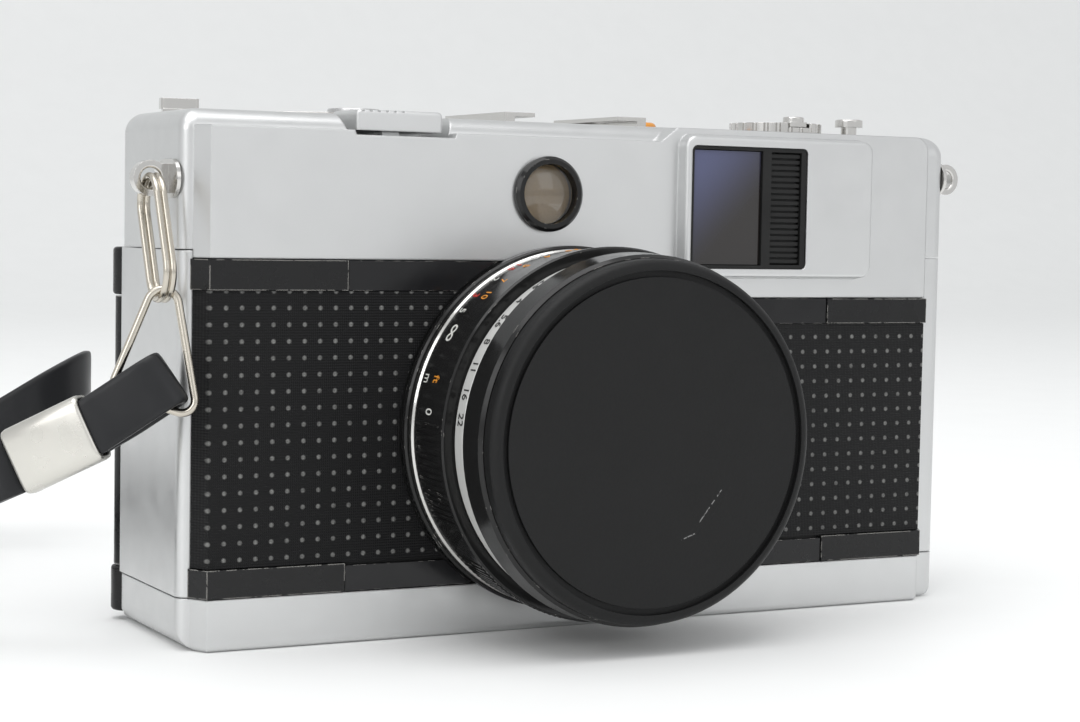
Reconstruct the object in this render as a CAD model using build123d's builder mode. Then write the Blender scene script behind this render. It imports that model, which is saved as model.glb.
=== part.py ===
"""Half frame camera with its wrist strap, as an assembly of separate pieces.

Frame: X to the right seen from the front, Y from the lens towards the back, Z up.
Origin: on the standing surface, half way across the body, in the middle of its depth.
All lengths are in millimetres.
"""
import math
import os

from build123d import *

os.makedirs("parts", exist_ok=True)

# ---------------------------------------------------------------- driving dimensions
HALF_WIDTH = 57.5           # side planes of the body
FRONT = -15.0               # face of the raised front panel
SHOULDER = -12.6            # front of the body beside the raised panel
REAR = 12.3                 # rear of the top and bottom covers
CASTING_REAR = 10.7         # rear of the casting, where the film lies
PANEL_LEFT = -54.6          # front edge of the panel's left bevel
PANEL_RIGHT = 52.6          # front edge of the panel's right bevel
BEVEL = 1.4                 # how far a bevel's foot stands outside its edge
BEAD = 1.5                  # radius of the front corners
REAR_CORNER = 3.0           # radius of the rear corners
SKIN = 0.7                  # thickness of leatherette and of the cover's skirt
WALL = 1.2                  # thickness of the covers and side plates
GAP = 0.15                  # visible joint between two covers

BOTTOM_TOP = 6.5            # upper edge of the bottom cover
SIDE_TOP = 49.3             # lower edge of the top cover on the sides
LEFT_SKIRT = 48.3           # lower edge of the top cover on the front, left of the lens
RIGHT_SKIRT = 43.6          # the same, right of the lens
TRIM_LOW = 10.2             # upper edge of the lower trim bars
LEFT_TRIM_LOW = 44.4        # lower edge of the upper left trim bars
RIGHT_TRIM_LOW = 40.0       # lower edge of the upper right trim bars
LEDGE = 63.6                # upper edge of the raised name panel
TOP = 66.5                  # flat top of the top cover

LENS_X = -5.3               # optical axis
LENS_Z = 26.55
RING_CLEAR = 24.0           # hole in leatherette and trim around the lens
TUBE_R = 20.0               # fixed tube inside the turning rings
TUBE_HOLE = 20.4            # hole in the covers around that tube
RUNNING = 0.08              # radial play of a turning fit

HINGE_X = -55.7             # pin of the back door
HINGE_Y = 13.0
DOOR_REAR = 14.6
DOOR_LOW = BOTTOM_TOP + 0.3
DOOR_HIGH = SIDE_TOP - 0.3

SHOE_X = -0.5               # accessory shoe
SHOE_Y = 1.5
KNOB_X = 36.8               # rewind knob
KNOB_Y = 0.5
LEVER_X = -29.0             # pivot of the advance lever
LEVER_Y = 1.5
SPOOL_X = -39.5             # take-up spool
SPOOL_Y = -1.2
LUG_Y = -8.5                # strap lugs
LUG_LEFT_Z = 57.85
LUG_RIGHT_Z = 60.6
LUG_REACH = 2.75            # eyelet centre outside the side plane

FRONT_PLANE = Plane(origin=(0, 0, 0), x_dir=(1, 0, 0), z_dir=(0, -1, 0))


def front_at(depth):
    """Sketch plane facing forwards at the given Y, with X to the right and Z up."""
    return FRONT_PLANE.offset(-depth)


def lens_plane(depth):
    """Sketch plane facing forwards on the optical axis."""
    return Plane(origin=(LENS_X, depth, LENS_Z), x_dir=(1, 0, 0), z_dir=(0, -1, 0))


def save(part, name):
    """Label one finished piece and write it."""
    part.label = name
    export_step(part, f"parts/{name}.step")


def body_outline(front_edge, sides, rear):
    """Plan of the body without its raised panel."""
    return [(-sides, front_edge), (sides, front_edge), (sides, rear), (-sides, rear)]


def panel_outline(grow):
    """Plan of the raised panel, its faces moved outwards by grow."""
    step = grow * 0.55
    return [
        (PANEL_LEFT - BEVEL - grow, SHOULDER),
        (PANEL_LEFT - step, FRONT - grow),
        (PANEL_RIGHT + step, FRONT - grow),
        (PANEL_RIGHT + BEVEL + grow, SHOULDER),
    ]


def ring(start, end, outer, bore, edge=0.25):
    """A turned ring on the optical axis between two depths, with broken outer edges."""
    with BuildPart() as made:
        with BuildSketch(lens_plane(start)):
            Circle(outer)
            Circle(bore, mode=Mode.SUBTRACT)
        extrude(amount=start - end)
        rims = made.edges().filter_by(GeomType.CIRCLE).sort_by(SortBy.RADIUS)[-2:]
        chamfer(rims, length=edge)
    return made.part


# ---------------------------------------------------------------- body casting
CASTING_LOW = 3.0
CASSETTE_R = 12.7
SPOOL_ROOM_R = 10.5
GATE_WIDTH = 18.0
GATE_HEIGHT = 24.0
SHUTTER_R = 17.0
SHAFT_HOLE = 2.9

with BuildPart() as main_casting:
    with BuildSketch(Plane.XY.offset(CASTING_LOW)):
        with BuildLine():
            Polyline(
                (-56.1, -11.2), (-55.2, -11.2), (-55.2, SHOULDER), (-54.2, FRONT + SKIN),
                (52.2, FRONT + SKIN), (53.2, SHOULDER), (53.2, -11.2), (56.1, -11.2),
                (56.1, CASTING_REAR), (-56.1, CASTING_REAR), close=True,
            )
        make_face()
    extrude(amount=SIDE_TOP - 0.3 - CASTING_LOW)
    # the foot inside the bottom cover is narrower than the rest
    with BuildSketch(Plane.XY.offset(CASTING_LOW)):
        Rectangle(130, 60)
        with Locations((0, -0.8)):
            Rectangle(108, 20, mode=Mode.SUBTRACT)
    extrude(amount=BOTTOM_TOP + GAP - CASTING_LOW, mode=Mode.SUBTRACT)
    # film rooms, open to the back
    with BuildSketch(Plane.XY.offset(8.5)):
        with Locations((KNOB_X, KNOB_Y - 1.0)):
            Circle(CASSETTE_R)
        with Locations((KNOB_X, CASTING_REAR)):
            Rectangle(2 * CASSETTE_R, 2 * CASTING_REAR)
        with Locations((SPOOL_X, SPOOL_Y)):
            Circle(SPOOL_ROOM_R)
        with Locations((SPOOL_X, CASTING_REAR)):
            Rectangle(2 * SPOOL_ROOM_R, 2 * CASTING_REAR)
    extrude(amount=38.5, mode=Mode.SUBTRACT)
    # shutter room at the front, film gate at the back
    with BuildSketch(lens_plane(FRONT)):
        Circle(SHUTTER_R)
    extrude(amount=-12, mode=Mode.SUBTRACT)
    with BuildSketch(lens_plane(FRONT)):
        Rectangle(GATE_WIDTH, GATE_HEIGHT)
    extrude(amount=-30, mode=Mode.SUBTRACT)
    # step for the finder, and the hole of the rewind shaft
    with BuildSketch(front_at(FRONT - 1)):
        with Locations((30, RIGHT_SKIRT - GAP)):
            Rectangle(60, 20, align=(Align.CENTER, Align.MIN))
    extrude(amount=-4.0, mode=Mode.SUBTRACT)
    with BuildSketch(Plane.XY.offset(40)):
        with Locations((KNOB_X, KNOB_Y)):
            Circle(SHAFT_HOLE)
    extrude(amount=12, mode=Mode.SUBTRACT)
    # track of the sprocket beside the gate
    with BuildSketch(Plane.XY.offset(8.5)):
        with Locations((-22.5, CASTING_REAR - 3)):
            Rectangle(11, 12)
    extrude(amount=38.5, mode=Mode.SUBTRACT)
save(main_casting.part, "main_casting")

# ---------------------------------------------------------------- side plates
for side, name in ((-1, "side_plate_left"), (1, "side_plate_right")):
    strip_end = 56.0 if side < 0 else 54.0
    with BuildPart() as side_plate:
        with BuildSketch(Plane.XY.offset(BOTTOM_TOP + GAP)) as plan:
            with BuildLine():
                Polyline(
                    (side * strip_end, SHOULDER), (side * HALF_WIDTH, SHOULDER),
                    (side * HALF_WIDTH, CASTING_REAR), (side * (HALF_WIDTH - WALL), CASTING_REAR),
                    (side * (HALF_WIDTH - WALL), SHOULDER + WALL),
                    (side * strip_end, SHOULDER + WALL), close=True,
                )
            make_face()
            outer = plan.vertices().sort_by_distance((side * HALF_WIDTH, SHOULDER))[0]
            fillet(outer, BEAD)
        extrude(amount=SIDE_TOP - BOTTOM_TOP - 2 * GAP)
        if side > 0:
            # track of the door latch
            with BuildSketch(Plane.YZ.offset(HALF_WIDTH)):
                with Locations((6.0, 27.0)):
                    SlotCenterToCenter(7.0, 4.4, rotation=90)
            extrude(amount=-3, mode=Mode.SUBTRACT)
    save(side_plate.part, name)

# ---------------------------------------------------------------- bottom cover
with BuildPart() as bottom_cover:
    with BuildSketch() as plan:
        with BuildLine():
            Polyline(*body_outline(SHOULDER, HALF_WIDTH, REAR), close=True)
        make_face()
        fillet(plan.vertices().group_by(Axis.Y)[0], BEAD)
        fillet(plan.vertices().group_by(Axis.Y)[-1], REAR_CORNER)
        with BuildLine():
            Polyline(*panel_outline(0), close=True)
        make_face()
    extrude(amount=BOTTOM_TOP)
    low_edges = bottom_cover.faces().sort_by(Axis.Z)[0].edges()
    fillet(low_edges, 0.8)
    # rounded ends, seen from the front
    for side in (-1, 1):
        with BuildSketch(front_at(FRONT - 1)):
            with Locations((side * (HALF_WIDTH - 3), 3)):
                Rectangle(8, 8, align=(Align.MIN if side > 0 else Align.MAX, Align.MAX))
                Circle(3, mode=Mode.SUBTRACT)
        extrude(amount=-40, mode=Mode.SUBTRACT)
    # inside of the pan
    with BuildSketch(Plane.XY.offset(1.2)):
        with Locations((0, -0.8)):
            Rectangle(109, 21.4)
    extrude(amount=20, mode=Mode.SUBTRACT)
    # corner taken by the lower hinge knuckle
    with BuildSketch(Plane.XY.offset(1.0)):
        with Locations((HINGE_X - 2, HINGE_Y)):
            Rectangle(8.8, 4.8)
    extrude(amount=20, mode=Mode.SUBTRACT)
    # holes for the tripod socket, the battery lid, the rewind release and four screws
    with Locations((0, 0, 0)):
        Hole(4.75)
    with Locations((30, -1, 0)):
        Hole(8.6)
    with Locations((-22, 4, 0)):
        Hole(2.1)
    with Locations((-50, -8, 0), (-50, 6, 0), (50, -8, 0), (50, 6, 0)):
        Hole(0.95)
save(bottom_cover.part, "bottom_cover")

# ---------------------------------------------------------------- top cover
EYE_X = -8.6                # meter eye
EYE_Z = 57.0
EYE_R = 4.9
BLOCK_LEFT = 9.2            # middle of the finder block's sloping left end
FINDER_FRONT = -17.0        # face of the raised finder panel
FINDER = (11.1, 41.9, 46.2, 65.5)      # left, right, low, high of the finder panel
WINDOW = (12.1, 30.7, 47.5, 64.0)      # left, right, low, high of the finder window
BUTTON = (-34.5, -22.6)                # ends of the release button
BUTTON_FRONT = -12.4
BUTTON_REAR = -4.2
LAMP_X = 15.0
CHECK_X = 47.1
CHECK_Y = -3.2
COUNTER_X = -46.5
COUNTER_Y = 1.5
COUNTER_R = 4.3
EYEPIECE_X = 19.0
EYEPIECE_Z = 57.5


def box_between(low, high, mode=Mode.ADD):
    """A box from its lowest corner to its highest."""
    size = [high[i] - low[i] for i in range(3)]
    centre = [(high[i] + low[i]) / 2 for i in range(3)]
    with Locations(tuple(centre)):
        Box(*size, mode=mode)


with BuildPart() as cover_room:
    # the space inside the top cover, less what is sunk into it
    box_between((-56.2, -11.4, 40), (56.2, REAR - WALL, TOP - 1.0))
    box_between((-53.5, FRONT + WALL, 50), (51.5, 0, LEDGE - 1.2))
    # the release button's tray and the shoe's seat
    box_between((BUTTON[0] - 3.5, -14, LEDGE - 0.8), (BUTTON[1] + 3.0, BUTTON_REAR + 1.2, 80),
                mode=Mode.SUBTRACT)
    box_between((SHOE_X - 11.9, SHOE_Y - 10.4, TOP - 2.8), (SHOE_X + 11.9, SHOE_Y + 10.4, 80),
                mode=Mode.SUBTRACT)
    for x, y, radius in ((LEVER_X, LEVER_Y, 3.2), (KNOB_X, KNOB_Y, 4.6)):
        with Locations((x, y, TOP - 2)):
            Cylinder(radius, 8, mode=Mode.SUBTRACT)

with BuildPart() as top_cover:
    with BuildSketch(Plane.XY.offset(SIDE_TOP)) as plan:
        with BuildLine():
            Polyline(*body_outline(SHOULDER, HALF_WIDTH, REAR), close=True)
        make_face()
        fillet(plan.vertices().group_by(Axis.Y)[0], BEAD)
        fillet(plan.vertices().group_by(Axis.Y)[-1], REAR_CORNER)
    extrude(amount=TOP - SIDE_TOP)
    fillet(top_cover.faces().sort_by(Axis.Z)[-1].edges(), 2.7)
    # raised name panel, its left end and top edge bevelled
    with BuildSketch(front_at(SHOULDER)):
        with BuildLine():
            Polyline(
                (PANEL_LEFT - BEVEL, LEFT_SKIRT), (PANEL_LEFT - BEVEL, LEDGE + 0.8),
                (BLOCK_LEFT, LEDGE + 0.8), (BLOCK_LEFT, RIGHT_SKIRT), (0, RIGHT_SKIRT),
                (0, LEFT_SKIRT), close=True,
            )
        make_face()
    extrude(amount=SHOULDER - FRONT)
    left_end = top_cover.edges().filter_by(Axis.Z).group_by(Axis.Y)[0].sort_by(Axis.X)[0]
    chamfer(left_end, length=SHOULDER - FRONT - 0.01, length2=BEVEL)
    # finder block, level with the top
    with BuildSketch(front_at(FRONT)) as block:
        with BuildLine():
            Polyline(
                (BLOCK_LEFT - 3, RIGHT_SKIRT), (BLOCK_LEFT - 3, LEDGE), (BLOCK_LEFT - 1.8, LEDGE),
                (BLOCK_LEFT + 1.8, TOP - 0.2), (PANEL_RIGHT, TOP - 0.2), (PANEL_RIGHT, RIGHT_SKIRT),
                close=True,
            )
        make_face()
        fillet(block.vertices().sort_by_distance((PANEL_RIGHT, TOP))[0], 2.2)
    extrude(amount=-8)
    # raised finder panel
    with BuildSketch(front_at(FRONT)) as finder_foot:
        with Locations(((FINDER[0] + FINDER[1]) / 2, (FINDER[2] + FINDER[3]) / 2)):
            RectangleRounded(FINDER[1] - FINDER[0], FINDER[3] - FINDER[2], 1.8)
    extrude(amount=FRONT - FINDER_FRONT, taper=7)
    face_rim = top_cover.faces().filter_by(Axis.Y).sort_by(Axis.Y)[0].edges()
    fillet(face_rim, 0.45)
    # inside, and the pocket over the casting's raised front
    add(cover_room.part, mode=Mode.SUBTRACT)
    with BuildSketch(Plane.XY.offset(40)):
        with BuildLine():
            Polyline(*panel_outline(-SKIN + 0.05), close=True)
        make_face()
        with Locations((0, -11.6)):
            Rectangle(108, 3)
    extrude(amount=SIDE_TOP + 0.1 - 40, mode=Mode.SUBTRACT)
    # hole around the lens tube
    with BuildSketch(lens_plane(FRONT - 1)):
        Circle(TUBE_HOLE)
    extrude(amount=-10, mode=Mode.SUBTRACT)
    # tray of the release button, its ends sloping
    with BuildSketch(front_at(FRONT - 1)):
        with BuildLine():
            Polyline(
                (BUTTON[0] - 1.1, LEDGE + 0.2), (BUTTON[1] + 0.6, LEDGE + 0.2),
                (BUTTON[1] + 1.9, TOP + 1), (BUTTON[0] - 2.7, TOP + 1), close=True,
            )
        make_face()
    extrude(amount=-(BUTTON_REAR + 0.3 - FRONT + 1), mode=Mode.SUBTRACT)
    # finder window, meter eye, eyepiece
    window_mid = ((WINDOW[0] + WINDOW[1]) / 2, (WINDOW[2] + WINDOW[3]) / 2)
    with BuildSketch(front_at(FINDER_FRONT - 1)):
        with Locations(window_mid):
            RectangleRounded(WINDOW[1] - WINDOW[0], WINDOW[3] - WINDOW[2], 0.8)
    extrude(amount=-7, mode=Mode.SUBTRACT)
    with BuildSketch(front_at(FRONT - 1)):
        with Locations((EYE_X, EYE_Z)):
            Circle(EYE_R - 0.6)
    extrude(amount=-6, mode=Mode.SUBTRACT)
    with BuildSketch(front_at(REAR + 1)):
        with Locations((EYEPIECE_X, EYEPIECE_Z)):
            RectangleRounded(10, 7.6, 1.6)
    extrude(amount=5, mode=Mode.SUBTRACT)
    # seat of the shoe
    box_between((SHOE_X - 10.9, SHOE_Y - 9.4, TOP - 1.7), (SHOE_X + 10.9, SHOE_Y + 9.4, TOP + 5),
                mode=Mode.SUBTRACT)
    # holes in the top for lever, knob, counter, lamp and check button
    for x, y, radius in (
        (LEVER_X, LEVER_Y, 1.6), (KNOB_X, KNOB_Y, 2.6), (COUNTER_X, COUNTER_Y, COUNTER_R),
        (LAMP_X, SHOE_Y, 1.6), (CHECK_X, CHECK_Y, 1.2),
    ):
        with Locations((x, y, TOP)):
            Cylinder(radius, 12, mode=Mode.SUBTRACT)
    # seat of each lug's plate
    for side, height in ((-1, LUG_LEFT_Z), (1, LUG_RIGHT_Z)):
        with Locations((side * HALF_WIDTH, LUG_Y, height)):
            Cylinder(1.3, 8, rotation=(0, 90, 0), mode=Mode.SUBTRACT)
    # hole for the release button's plunger
    with Locations(((BUTTON[0] + BUTTON[1]) / 2, (BUTTON_FRONT + BUTTON_REAR) / 2, LEDGE)):
        Box(2.8, 2.8, 2.0, mode=Mode.SUBTRACT)
save(top_cover.part, "top_cover")

# ---------------------------------------------------------------- front covering

def covering(left, right, low, high, proud, wraps):
    """A strip of the front covering, wrapped round a bevel at the ends named in wraps."""
    outer = panel_outline(proud)
    inner = panel_outline(-SKIN)
    profile = [(left, inner[1][1]), (left, outer[1][1])]
    if "left" in wraps:
        profile = [inner[1], inner[0], outer[0], outer[1]]
    if "right" in wraps:
        profile += [outer[2], outer[3], inner[3], inner[2]]
    else:
        profile += [(right, outer[2][1]), (right, inner[2][1])]
    with BuildPart() as made:
        with BuildSketch(Plane.XY.offset(low)):
            with BuildLine():
                Polyline(*profile, close=True)
            make_face()
        extrude(amount=high - low)
        with BuildSketch(lens_plane(FRONT - 2)):
            Circle(RING_CLEAR)
        extrude(amount=-6, mode=Mode.SUBTRACT)
    return made.part


SPLIT_LEFT = -36.6          # joints between outer and inner trim bars
SPLIT_RIGHT = 35.7
OUTER_PROUD = 0.3
INNER_PROUD = 0.12
JOINT = 0.12

coverings = {
    "leatherette_left": (PANEL_LEFT, LENS_X, TRIM_LOW + 0.1, LEFT_TRIM_LOW - 0.1, 0, "left"),
    "leatherette_right": (LENS_X + 0.1, PANEL_RIGHT, TRIM_LOW + 0.1, RIGHT_TRIM_LOW - 0.1, 0, "right"),
    "trim_upper_left": (PANEL_LEFT, SPLIT_LEFT, LEFT_TRIM_LOW, LEFT_SKIRT - GAP, OUTER_PROUD, "left"),
    "trim_upper_left_inner": (SPLIT_LEFT + JOINT, LENS_X - 5, LEFT_TRIM_LOW, LEFT_SKIRT - GAP,
                              INNER_PROUD, ""),
    "trim_upper_right_inner": (LENS_X + 12, SPLIT_RIGHT - JOINT, RIGHT_TRIM_LOW, RIGHT_SKIRT - GAP,
                               INNER_PROUD, ""),
    "trim_upper_right": (SPLIT_RIGHT, PANEL_RIGHT, RIGHT_TRIM_LOW, RIGHT_SKIRT - GAP, OUTER_PROUD,
                         "right"),
    "trim_lower_left": (PANEL_LEFT, SPLIT_LEFT, BOTTOM_TOP + GAP, TRIM_LOW, OUTER_PROUD, "left"),
    "trim_lower_left_inner": (SPLIT_LEFT + JOINT, LENS_X - 5, BOTTOM_TOP + GAP, TRIM_LOW - 0.3,
                              INNER_PROUD, ""),
    "trim_lower_right_inner": (LENS_X + 5, SPLIT_RIGHT - JOINT, BOTTOM_TOP + GAP, TRIM_LOW - 0.3,
                               INNER_PROUD, ""),
    "trim_lower_right": (SPLIT_RIGHT, PANEL_RIGHT, BOTTOM_TOP + GAP, TRIM_LOW, OUTER_PROUD, "right"),
}
for name, sizes in coverings.items():
    save(covering(*sizes), name)

# ---------------------------------------------------------------- back door
DOOR_WALL = 1.2
KNUCKLE_R = 1.8
BLOCK_R = 2.15
PIN_R = 0.7
UPPER_BLOCK = 42.9
LOWER_BLOCK = 7.2

with BuildPart() as back_door:
    with BuildSketch(Plane.XY.offset(DOOR_LOW)) as plan:
        with BuildLine():
            Polyline(
                (HINGE_X, DOOR_REAR), (HALF_WIDTH, DOOR_REAR), (HALF_WIDTH, CASTING_REAR + 0.3),
                (HALF_WIDTH - DOOR_WALL, CASTING_REAR + 0.3),
                (HALF_WIDTH - DOOR_WALL, DOOR_REAR - DOOR_WALL), (HINGE_X, DOOR_REAR - DOOR_WALL),
                close=True,
            )
        make_face()
        fillet(plan.vertices().sort_by_distance((HALF_WIDTH, DOOR_REAR))[0], 2.6)
        with Locations((HINGE_X, HINGE_Y)):
            Circle(KNUCKLE_R)
    extrude(amount=DOOR_HIGH - DOOR_LOW)
    # room for the two fixed knuckles
    for low, high in ((0, LOWER_BLOCK + 0.2), (UPPER_BLOCK - 0.2, 60)):
        with BuildSketch(Plane.XY.offset(low)):
            with Locations((HINGE_X, HINGE_Y)):
                Circle(BLOCK_R + 0.5)
        extrude(amount=high - low, mode=Mode.SUBTRACT)
    # bore for the pin
    with BuildSketch():
        with Locations((HINGE_X, HINGE_Y)):
            Circle(PIN_R + 0.05)
    extrude(amount=60, mode=Mode.SUBTRACT)
    # shallow seat of the leatherette
    with BuildSketch(front_at(DOOR_REAR)):
        with Locations((1, (DOOR_LOW + DOOR_HIGH) / 2)):
            RectangleRounded(104, 38, 1.5)
    extrude(amount=0.5, mode=Mode.SUBTRACT)
    # stud that carries the pressure plate
    with BuildSketch(front_at(DOOR_REAR - DOOR_WALL)):
        with Locations((LENS_X, LENS_Z)):
            Circle(2.0)
    extrude(amount=0.8)
save(back_door.part, "back_door")

with BuildPart() as door_leatherette:
    with BuildSketch(front_at(DOOR_REAR - 0.5)):
        with Locations((1, (DOOR_LOW + DOOR_HIGH) / 2)):
            RectangleRounded(103.8, 37.8, 1.4)
    extrude(amount=-0.6)
save(door_leatherette.part, "door_leatherette")

with BuildPart() as hinge_blocks:
    for low, high in ((1.2, LOWER_BLOCK), (UPPER_BLOCK, SIDE_TOP - GAP)):
        with BuildSketch(Plane.XY.offset(low)):
            with Locations((HINGE_X, HINGE_Y)):
                Circle(BLOCK_R)
                Circle(PIN_R, mode=Mode.SUBTRACT)
        extrude(amount=high - low)
    fillet(hinge_blocks.edges().filter_by(GeomType.CIRCLE).filter_by(
        lambda e: e.radius > BLOCK_R - 0.1), 0.5)
save(hinge_blocks.part, "hinge_blocks")

with BuildPart() as hinge_pin:
    with BuildSketch(Plane.XY.offset(1.6)):
        with Locations((HINGE_X, HINGE_Y)):
            Circle(PIN_R)
    extrude(amount=SIDE_TOP - 2.2)
save(hinge_pin.part, "hinge_pin")

with BuildPart() as pressure_plate:
    with BuildSketch(front_at(CASTING_REAR + 1.9)):
        with Locations((LENS_X, LENS_Z)):
            RectangleRounded(38, 34, 1.5)
    extrude(amount=1.1)
    fillet(pressure_plate.edges().filter_by(Axis.Z), 0.3)
save(pressure_plate.part, "pressure_plate")

with BuildPart() as door_latch:
    with BuildSketch(Plane.YZ.offset(HALF_WIDTH + 0.1)) as latch_face:
        with Locations((6.0, 28.5)):
            RectangleRounded(6.0, 8.0, 1.0)
    extrude(amount=0.9)
    for rib in range(5):
        with BuildSketch(Plane.YZ.offset(HALF_WIDTH + 1.0)):
            with Locations((6.0, 26.1 + 1.2 * rib)):
                Rectangle(4.6, 0.5)
        extrude(amount=0.3)
    with BuildSketch(Plane.YZ.offset(HALF_WIDTH - 0.9)):
        with Locations((6.0, 28.5)):
            Circle(2.0)
    extrude(amount=1.0)
save(door_latch.part, "door_latch")

# ---------------------------------------------------------------- strap lugs
for side, height, name in ((-1, LUG_LEFT_Z, "lug_left"), (1, LUG_RIGHT_Z, "lug_right")):
    with BuildPart() as lug:
        with BuildSketch(Plane.YZ.offset(side * HALF_WIDTH)):
            with Locations((LUG_Y, height)):
                SlotOverall(8.0, 4.8)
        extrude(amount=side * 0.5)
        eyelet_plane = Plane(origin=(side * (HALF_WIDTH + LUG_REACH), LUG_Y, height),
                             x_dir=(1, 0, 0), z_dir=(0, -1, 0))
        with BuildSketch(eyelet_plane):
            Circle(2.2)
            with Locations((-side * 1.3, 0)):
                Rectangle(2.0, 3.6)
            Circle(1.25, mode=Mode.SUBTRACT)
        extrude(amount=0.8, both=True)
        with Locations((side * (HALF_WIDTH - 0.6), LUG_Y, height)):
            Cylinder(1.2, 1.3, rotation=(0, 90, 0))
        rims = lug.edges().filter_by(GeomType.CIRCLE).filter_by(lambda e: abs(e.radius - 1.25) < 0.01)
        fillet(rims, 0.3)
    save(lug.part, name)

# ---------------------------------------------------------------- rings of the strap
EYELET = Vector(-HALF_WIDTH - LUG_REACH, LUG_Y, LUG_LEFT_Z)
RING_WIRE = 0.42            # radius of the split ring's wire
RING_LENGTH = 15.65         # between the wire's centres
RING_WIDTH = 6.65
RING_LEAN = math.radians(23.5)
RING_DOWN = Vector(0, -math.sin(RING_LEAN), -math.cos(RING_LEAN))
RING_FOOT = EYELET + RING_DOWN * RING_LENGTH

with BuildPart() as split_ring:
    for turn in (-1, 1):
        middle = EYELET + RING_DOWN * (RING_LENGTH / 2) + Vector(turn * RING_WIRE * 0.97, 0, 0)
        with BuildLine(Plane(origin=middle, x_dir=RING_DOWN, z_dir=(1, 0, 0))) as loop:
            straight = (RING_LENGTH - RING_WIDTH) / 2
            half = RING_WIDTH / 2
            Line((-straight, half), (straight, half))
            ThreePointArc((straight, half), (straight + half, 0), (straight, -half))
            Line((straight, -half), (-straight, -half))
            ThreePointArc((-straight, -half), (-straight - half, 0), (-straight, half))
        turn_wire = loop.wire()
        with BuildSketch(Plane(origin=turn_wire @ 0, z_dir=turn_wire % 0)):
            Circle(RING_WIRE)
        sweep(path=turn_wire)
save(split_ring.part, "split_ring")

# ends of the crimped sleeve, and its own directions
SLEEVE_MOUTH = Vector(-68.9, -14.7, 28.2)
SLEEVE_TAIL = Vector(-76.2, -8.8, 23.6)
ALONG = (SLEEVE_MOUTH - SLEEVE_TAIL).normalized()
ACROSS = Vector(-ALONG.Y, ALONG.X, 0).normalized()
UPWARD = ALONG.cross(ACROSS)


def by_sleeve(along, across, up):
    """A point given from the sleeve's mouth along its own directions."""
    return SLEEVE_MOUTH + ALONG * along + ACROSS * across + UPWARD * up


TRIANGLE_WIRE = 0.5
APEX_BEND = 1.9             # radius of the bend that hangs on the split ring
APEX_RISE = 6.0             # from the split ring's foot up to where the two legs would meet
LEFT_CORNER = by_sleeve(2.9, 2.2, 3.3)
RIGHT_CORNER = by_sleeve(10.7, 4.5, -4.2)
TO_APEX = (RING_FOOT - (LEFT_CORNER + RIGHT_CORNER) * 0.5).normalized()
APEX = RING_FOOT + TO_APEX * APEX_RISE

with BuildPart() as triangle_ring:
    with BuildLine() as bent:
        FilletPolyline(APEX, RIGHT_CORNER, LEFT_CORNER, radius=[APEX_BEND, 1.5, 1.5], close=True)
    bend = bent.wire()
    with BuildSketch(Plane(origin=bend @ 0, z_dir=bend % 0)):
        Circle(TRIANGLE_WIRE)
    sweep(path=bend)
save(triangle_ring.part, "triangle_ring")

# ---------------------------------------------------------------- wrist strap
STRAP_WIDTH = 7.2
STRAP_THICK = 1.4
STRAP_PATH = [
    (-77.53, -9.59, 23.31), (-86.3, -2.6, 18.3), (-96.8, 7.5, 12.3), (-106.8, 16.2, 8.4),
    (-114.5, 27.7, 5.7), (-118.5, 41.4, 4.2), (-118.5, 55.9, 3.9), (-114.2, 70.1, 3.9),
    (-105.7, 82.3, 3.9), (-93.8, 91.3, 4.6), (-79.6, 96.0, 7.8), (-65.8, 95.9, 12.3),
    (-54.5, 93.0, 17.2), (-42.5, 87.5, 24.7), (-40.4, 81.5, 27.9), (-43.3, 75.7, 27.9),
    (-49.5, 73.6, 24.7), (-60.4, 78.6, 17.2), (-68.3, 80.8, 12.3), (-78.0, 81.4, 7.8),
    (-88.6, 79.0, 4.6), (-98.2, 73.4, 3.9), (-106.0, 65.0, 3.9), (-109.6, 53.6, 3.9),
    (-110.3, 41.8, 4.2), (-107.8, 30.0, 5.7), (-102.5, 19.8, 8.4), (-94.1, 10.5, 12.3),
    (-85.4, 0.9, 17.6), (-75.71, -7.33, 23.31),
]


def arc_radii(points):
    """Radius at each corner of a route: 0.45 of the shorter run over tan(half the turn)."""
    radii = []
    for before, here, after in zip(points, points[1:], points[2:]):
        first = Vector(*here) - Vector(*before)
        second = Vector(*after) - Vector(*here)
        turned = math.radians(first.get_angle(second))
        radii.append(0.45 * min(first.length, second.length) / math.tan(turned / 2))
    return radii


strap_radii = arc_radii(STRAP_PATH)
with BuildPart() as wrist_strap:
    with BuildLine() as route:
        FilletPolyline(*STRAP_PATH, radius=strap_radii)
    strap_route = route.wire()
    with BuildSketch(Plane(origin=strap_route @ 0, x_dir=ACROSS, z_dir=strap_route % 0)):
        Rectangle(STRAP_THICK, STRAP_WIDTH)
    sweep(path=strap_route)
save(wrist_strap.part, "wrist_strap")
print("strap radii", [round(radius, 1) for radius in strap_radii])
print("strap length", round(strap_route.length, 1), "volume", round(wrist_strap.part.volume, 1),
      "section x length", round(STRAP_THICK * STRAP_WIDTH * strap_route.length, 1))

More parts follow.
